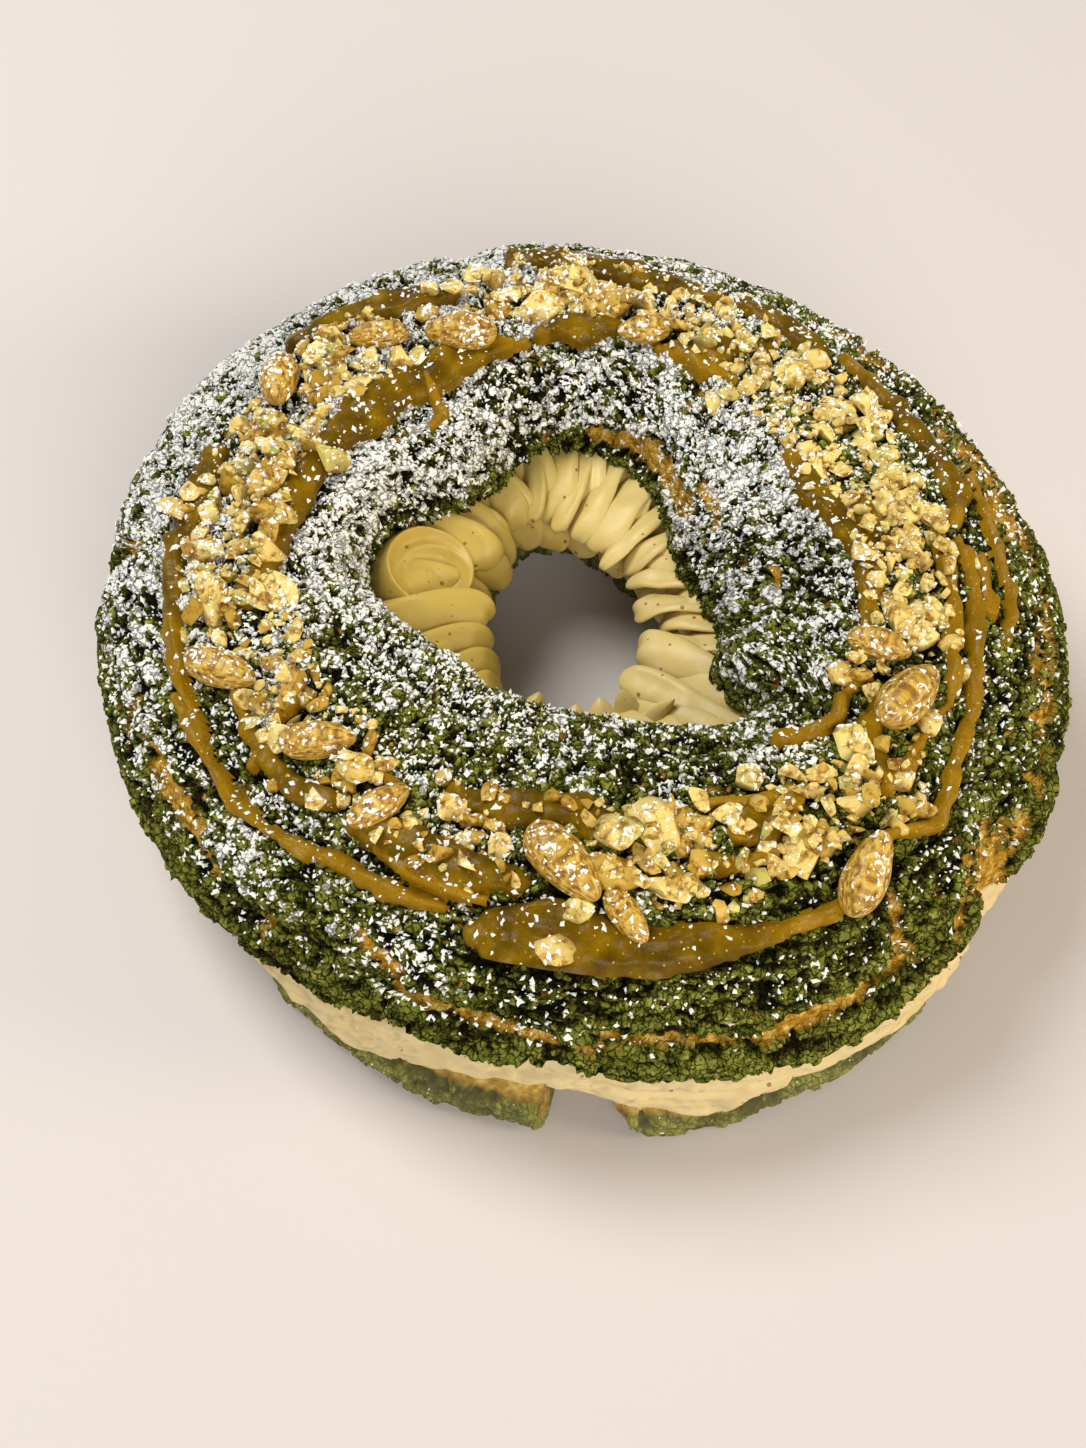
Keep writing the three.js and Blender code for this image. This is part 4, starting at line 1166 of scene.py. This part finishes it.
def petal_shape(number, lip, tip, tip_radius, tip_height, width, pointed, crest, rings=34, sides=26):
    """One petal: a flattened tongue of cream from under the crown to its tip, with one edge raised
    to overlap its neighbour."""
    draw = seeded(500 + 7 * number)
    share = np.linspace(0, 1, rings)
    azimuth, path = petal_path(share, lip, tip, tip_radius, tip_height)
    tilt = 32 + 12 * draw() + 10 * smoothstep(0.5, 0.9, -cos(lip))
    raised, facing = petal_axes(azimuth, path, crest, tilt)
    share = share[:, None]
    taper = petal_taper(share, pointed)
    half = 0.58 * width * taper
    thick = (0.85 + 0.06 * width + 0.25 * draw()) * taper ** 0.8
    turn = np.arange(sides)[None, :] * 360 / sides
    x, y = power(cos(turn), 0.85), power(sin(turn), 1.3)
    bow = 0.3 * half * (1 - x ** 2) - 0.1 * half
    curl = 1.1 * taper * smoothstep(0.4, 1, x)
    wave = 0.45 * np.sin(np.pi * (1.5 * x + 2.2 * share + number)) * share
    lines = np.stack(np.broadcast_arrays(3 * x + 9 * number, 1.2 * share, 2 * y), axis=-1)
    streaks = 0.16 * soft_noise(lines, 0.4, 211)
    level = (y - 0.8) * thick + bow + curl + (streaks + wave) * taper
    points = path[:, None] + raised[:, None] * (x * half)[..., None] + facing[:, None] * level[..., None]
    points = points + 0.5 * soft_noise(points, 4, 213)[..., None] * facing[:, None]
    return points.reshape(-1, 3), ring_faces(rings, sides)


def peak_shape(tip_azimuth, tip_radius, tip_height, azimuth, radius, height, half, rings=24, sides=20):
    """A small pointed peak of cream, flattened and bent over a little."""
    share = np.linspace(0, 1, rings)[:, None]
    turn = np.arange(sides)[None, :] * 360 / sides
    foot, tip = around_ring(azimuth, radius, height), around_ring(tip_azimuth, tip_radius, tip_height)
    bend = np.array([0, 0, 1.2]) * np.sin(np.pi * share)[..., None]
    path = foot + (tip - foot) * share[..., None] + bend
    width = half * (1 - share) ** 0.75 * smoothstep(-0.04, 0.08, share)
    flat = 0.55 + 0.1 * sin(3 * turn)
    side = np.array([1.0, 0, 0])
    other = unit(np.cross(tip - foot, side))
    points = path + side * (width * cos(turn))[..., None] + other * (width * flat * sin(turn))[..., None]
    points = points + 0.15 * soft_noise(points, 2, 225)[..., None]
    return points.reshape(-1, 3), ring_faces(rings, sides)


def rolled_rope(away, width):
    """The rounded back of a rope of cream at a distance from its middle."""
    return np.exp(-((np.abs(away) / width) ** 1.6))


def rosette_shape(rings=84, sides=120):
    """The biggest petal: a rope of cream rolled up round a shallow bowl, leaning into the hole."""
    azimuth, radius, middle_height, lean = ROSETTE
    reach = np.linspace(0.01, 1, rings)[:, None] * ROSETTE_REACH
    turn = np.arange(sides)[None, :] * 360 / sides
    apart = 0.5 - 0.5 * cos(turn - 150)
    swell = 0.5 + 0.5 * cos(turn - 240)
    inner_roll = rolled_rope(reach - 8.9 + 3.4 * apart, 1.5) * smoothstep(0.05, 0.3, apart)
    bowl = 0.9 * smoothstep(6, 1, reach)
    edge = np.clip((reach - ROSETTE_BEND) / (ROSETTE_REACH - ROSETTE_BEND), 0, 1)
    height = 3.5 * rolled_rope(reach - 9.3, 1.6) + (0.8 + 1.5 * swell) * inner_roll + bowl + 0.6
    height = height - 7 * (1 - np.sqrt(1 - edge ** 2))
    out, up = around_ring(azimuth, 1, 0), np.array([0, 0, 1])
    along = np.cross(up, out)
    uphill = out * cos(lean) + up * sin(lean)
    facing = np.cross(uphill, along)
    middle = around_ring(azimuth, radius, middle_height)
    points = middle + uphill * (reach * cos(turn))[..., None]
    points = points + along * (reach * sin(turn))[..., None] + facing * height[..., None]
    points = points + noises(points, (0.25, 4, 221), (0.08, 1.2, 223))[..., None] * facing
    under = points[-1] - facing * 7
    bottom = np.tile(middle - facing * 8, (sides, 1))
    return np.concatenate([points.reshape(-1, 3), under, bottom]), ring_faces(rings + 2, sides)


# Base


def gap_depth(azimuth, height_share):
    """How far the gap at the front cuts in from the outside."""
    centre, half_width, depth = BASE_GAP
    away = np.radians(turn_between(azimuth, centre)) * outer_radius(azimuth)
    right = 5 * smoothstep(0.36, 0.12, height_share)
    left = 1.4 * (2 * height_share - 0.7) ** 2 - 0.6
    ragged = 0.8 * np.sin(away * 0.9 + 5 * height_share) + 0.5 * np.sin(11 * height_share)
    past_wall = np.abs(away) + ragged - np.where(away > 0, right, left)
    return depth * smoothstep(half_width + GAP_EASE, half_width - GAP_EASE, past_wall)


def base_section(azimuth):
    """Rows up the outside, over the top and down the hole: radius, height, and 1 where choux shows."""
    crust = outer_radius(azimuth) - round_table(BASE_INSET, azimuth)
    beside_gap = bell(turn_between(azimuth, -81), 12)
    crust_top = np.minimum(8, round_table(CREAM_EDGE, azimuth) - 2) - 1.2 * beside_gap
    choux = outer_radius(azimuth) - CHOUX_INSET
    hole = round_table(BASE_HOLE, azimuth)
    flat = np.zeros_like(azimuth)
    section = [(hole + 2, flat, 1), (crust - 3, flat, 0)]
    for share in np.linspace(0, 1, 16):
        bow = np.sqrt(np.clip(1 - (2 * share - 1) ** 2, 0, 1))
        section.append((crust - CRUST_BULGE * (1 - bow), BASE_FOOT + (crust_top - BASE_FOOT) * share, 0))
    for share in np.linspace(0, 1, 18)[1:]:
        ease = (1 - share) ** (2.2 - 1.6 * beside_gap)
        radius = choux + (crust - CRUST_BULGE - choux) * ease - 1.2 * share ** 3
        section.append((radius, crust_top + (BASE_HEIGHT - crust_top) * share, 1))
    section += [(hole + 2, flat + BASE_HEIGHT, 1), (hole - 0.2, flat + BASE_HEIGHT - 2, 1)]
    section += [(hole, flat + BASE_HEIGHT * (1 - share), 0) for share in np.linspace(0.2, 0.95, 8)]
    return section


def make_base(material):
    azimuth = np.arange(BASE_COLUMNS) * 360 / BASE_COLUMNS
    rows, choux = [], []
    for radius, height, bare in base_section(azimuth):
        cut = outer_radius(azimuth) - gap_depth(azimuth, height / BASE_HEIGHT)
        limit = np.maximum(cut, round_table(BASE_HOLE, azimuth) + 3)
        rows.append(around_ring(azimuth, np.minimum(radius, limit), height))
        choux.append(np.where((radius > limit + 0.8) & (height > 4.6), 1.0, bare))
    points, choux = np.concatenate(rows), np.concatenate(choux)
    choux = smoothstep(0.45, 0.7, choux + noises(points, (0.35, 2.6, 65), (0.2, 1.2, 67)))
    around = np.tile(azimuth, len(rows))
    relief, values = crust_relief(unrolled(around, points[:, 2] + 200), choux)
    x, y, height = points.T
    side = (height > 0.1) & (height < BASE_HEIGHT - 0.5)
    outwards = np.where(np.hypot(x, y) > 60, 1, -1)
    points = points + around_ring(around, 1, 0) * (outwards * relief * side)[:, None]
    faces = ring_faces(len(rows), BASE_COLUMNS, closed_rows=True)
    return mesh_piece("choux_base", points, faces, material, ["base"], "green_crust", **values)


# Icing sugar


def make_sugar(material, crust, praline, others):
    """Flecks of sugar dropped from above, each an uneven flat lump. Most that fall on the sticky
    praline melt away, and many roll off the nuts."""
    ground = ground_tree(*crust, praline, *others)
    losing = list(zip((ground_tree(praline), ground_tree(*others)), SUGAR_LOST))
    generator = np.random.default_rng(5)
    reach = OUTER_RADIUS + 4
    hits = []
    while len(hits) < SUGAR_FLECKS:
        x, y = generator.uniform(-reach, reach, (2, 4096))
        wanted = generator.random(len(x)) < sugar_chance(x, y)
        luck = generator.random(len(x))
        for k in np.flatnonzero(wanted):
            start = Vector(to_row((x[k], y[k], 90)))
            hit, normal, _, away = ground.ray_cast(start, DOWN)
            lost = hit is not None and any(luck[k] < share and hits_at(tree, start, away)
                                           for tree, share in losing)
            if hit is not None and not lost:
                hits.append((*hit, *normal))
    hits = np.array(hits[:SUGAR_FLECKS])
    corners, faces = fleck_shapes(hits[:, :3] * 1000 + RING_CENTRE, unit(hits[:, 3:]), generator)
    return mesh_piece("icing_sugar", corners, faces, material, smooth=False)


def sugar_chance(x, y):
    """How likely a fleck that falls at each place is to stay there."""
    azimuth, radius = np.degrees(np.arctan2(y, x)), np.hypot(x, y)
    curve = smooth_arch(azimuth[:, None], np.arange(181)[None, :])[0]
    arch = np.abs(curve - radius[:, None]).argmin(axis=1)
    inside = (radius < curve[:, 0]) & (radius > curve[:, -1])
    patchy = 1 + 0.9 * soft_noise(np.stack([x, y, 0 * x], axis=-1), 8, 131)
    return inside * np.minimum(1.35 * dust_share(azimuth, arch) ** 1.1, 0.52) * patchy


def hits_at(tree, start, away):
    """Whether a ray straight down meets these pieces at this distance."""
    distance = tree.ray_cast(start, DOWN)[3]
    return distance is not None and distance < away + 1e-5


def fleck_shapes(centres, normals, generator):
    """Flecks with four uneven corners round a low top, and a point under them."""
    count = len(centres)
    helper = unit(generator.normal(size=(count, 3)))
    side = unit(np.cross(normals, helper))
    other = np.cross(normals, side)
    size = FLECK_SIZES[0] + (FLECK_SIZES[1] - FLECK_SIZES[0]) * generator.random(count) ** 1.8
    turn = np.arange(4)[None, :] * 90 + generator.uniform(-34, 34, (count, 4))
    stretch = np.where([True, False, True, False], generator.uniform(1, 1.35, (count, 1)), 0.85)
    reach = size[:, None] * generator.uniform(0.6, 1.2, (count, 4)) * stretch
    rim = centres[:, None] + side[:, None] * (reach * cos(turn))[..., None]
    rim = rim + other[:, None] * (reach * sin(turn))[..., None]
    rim = rim + normals[:, None] * (0.12 * generator.normal(size=(count, 4)) + 0.1)[..., None]
    top = centres + normals * (0.2 + 0.35 * size)[:, None]
    bottom = centres - normals * 0.3
    corners = np.concatenate([rim, top[:, None], bottom[:, None]], axis=1).reshape(-1, 3)
    beside = [(k, (k + 1) % 4) for k in range(4)]
    pattern = np.array([(a, b, 4) for a, b in beside] + [(b, a, 5) for a, b in beside])
    return corners, (np.arange(count)[:, None, None] * 6 + pattern).reshape(-1, 3)


# Camera, floor and light


def make_camera():
    camera = add_object("camera", bpy.data.cameras.new("camera"))
    camera.location = (-0.00746, -0.24271, 0.3758)
    camera.rotation_euler = (math.radians(90 - 57.5), 0, 0)
    camera.data.sensor_fit = "VERTICAL"
    camera.data.sensor_height = 24
    camera.data.lens = 33.15
    camera.data.clip_start = 0.01
    bpy.context.scene.camera = camera


def make_floor(half_side=3):
    data = bpy.data.meshes.new("floor")
    corners = [(-half_side, -half_side, 0), (half_side, -half_side, 0), (half_side, half_side, 0),
               (-half_side, half_side, 0)]
    data.from_pydata(corners, [], [(0, 1, 2, 3)])
    s = Shader("floor")
    s.set(Base_Color=paint((213, 206, 203)), Roughness=0.6, Specular_IOR_Level=0.3)
    data.materials.append(s.material)
    floor = add_object("floor", data)


def area_light(name, place, size, watts, colour):
    """A round lamp that shines at the middle of the floor."""
    data = bpy.data.lights.new(name, "AREA")
    data.shape, data.size, data.energy, data.color = "DISK", size, watts, colour
    light = add_object(name, data)
    light.location = place
    light.rotation_euler = (-Vector(place)).to_track_quat("-Z", "Y").to_euler()


def make_light():
    area_light("window", (-0.56, 0.36, 1.22), 0.7, 13.4, (1, 0.985, 0.96))
    area_light("room", (0.5, -2.2, 1.4), 1.6, 44, (1, 0.95, 0.88))
    area_light("lamp", (1.6, -0.35, 0.65), 0.6, 13.5, (1, 0.84, 0.56))
    world = bpy.data.worlds.new("room")
    bpy.context.scene.world = world
    world.use_nodes = True
    background = world.node_tree.nodes["Background"]
    background.inputs["Color"].default_value = (1, 0.985, 0.965, 1)
    background.inputs["Strength"].default_value = 0.26
    bpy.context.scene.view_settings.view_transform = "Standard"


make_camera()
make_floor()
make_light()
crust = make_crust(crust_material())
praline = make_praline(praline_material())
kernel_skin = kernel_material()
kernels = [make_kernel(k + 1, *kernel, kernel_skin) for k, kernel in enumerate(KERNELS)]
nuts = make_nuts(nut_material(), [*crust, praline, *kernels])
make_cream(cream_material())
make_base(base_material())
make_sugar(sugar_material(), crust, praline, [*kernels, *nuts])
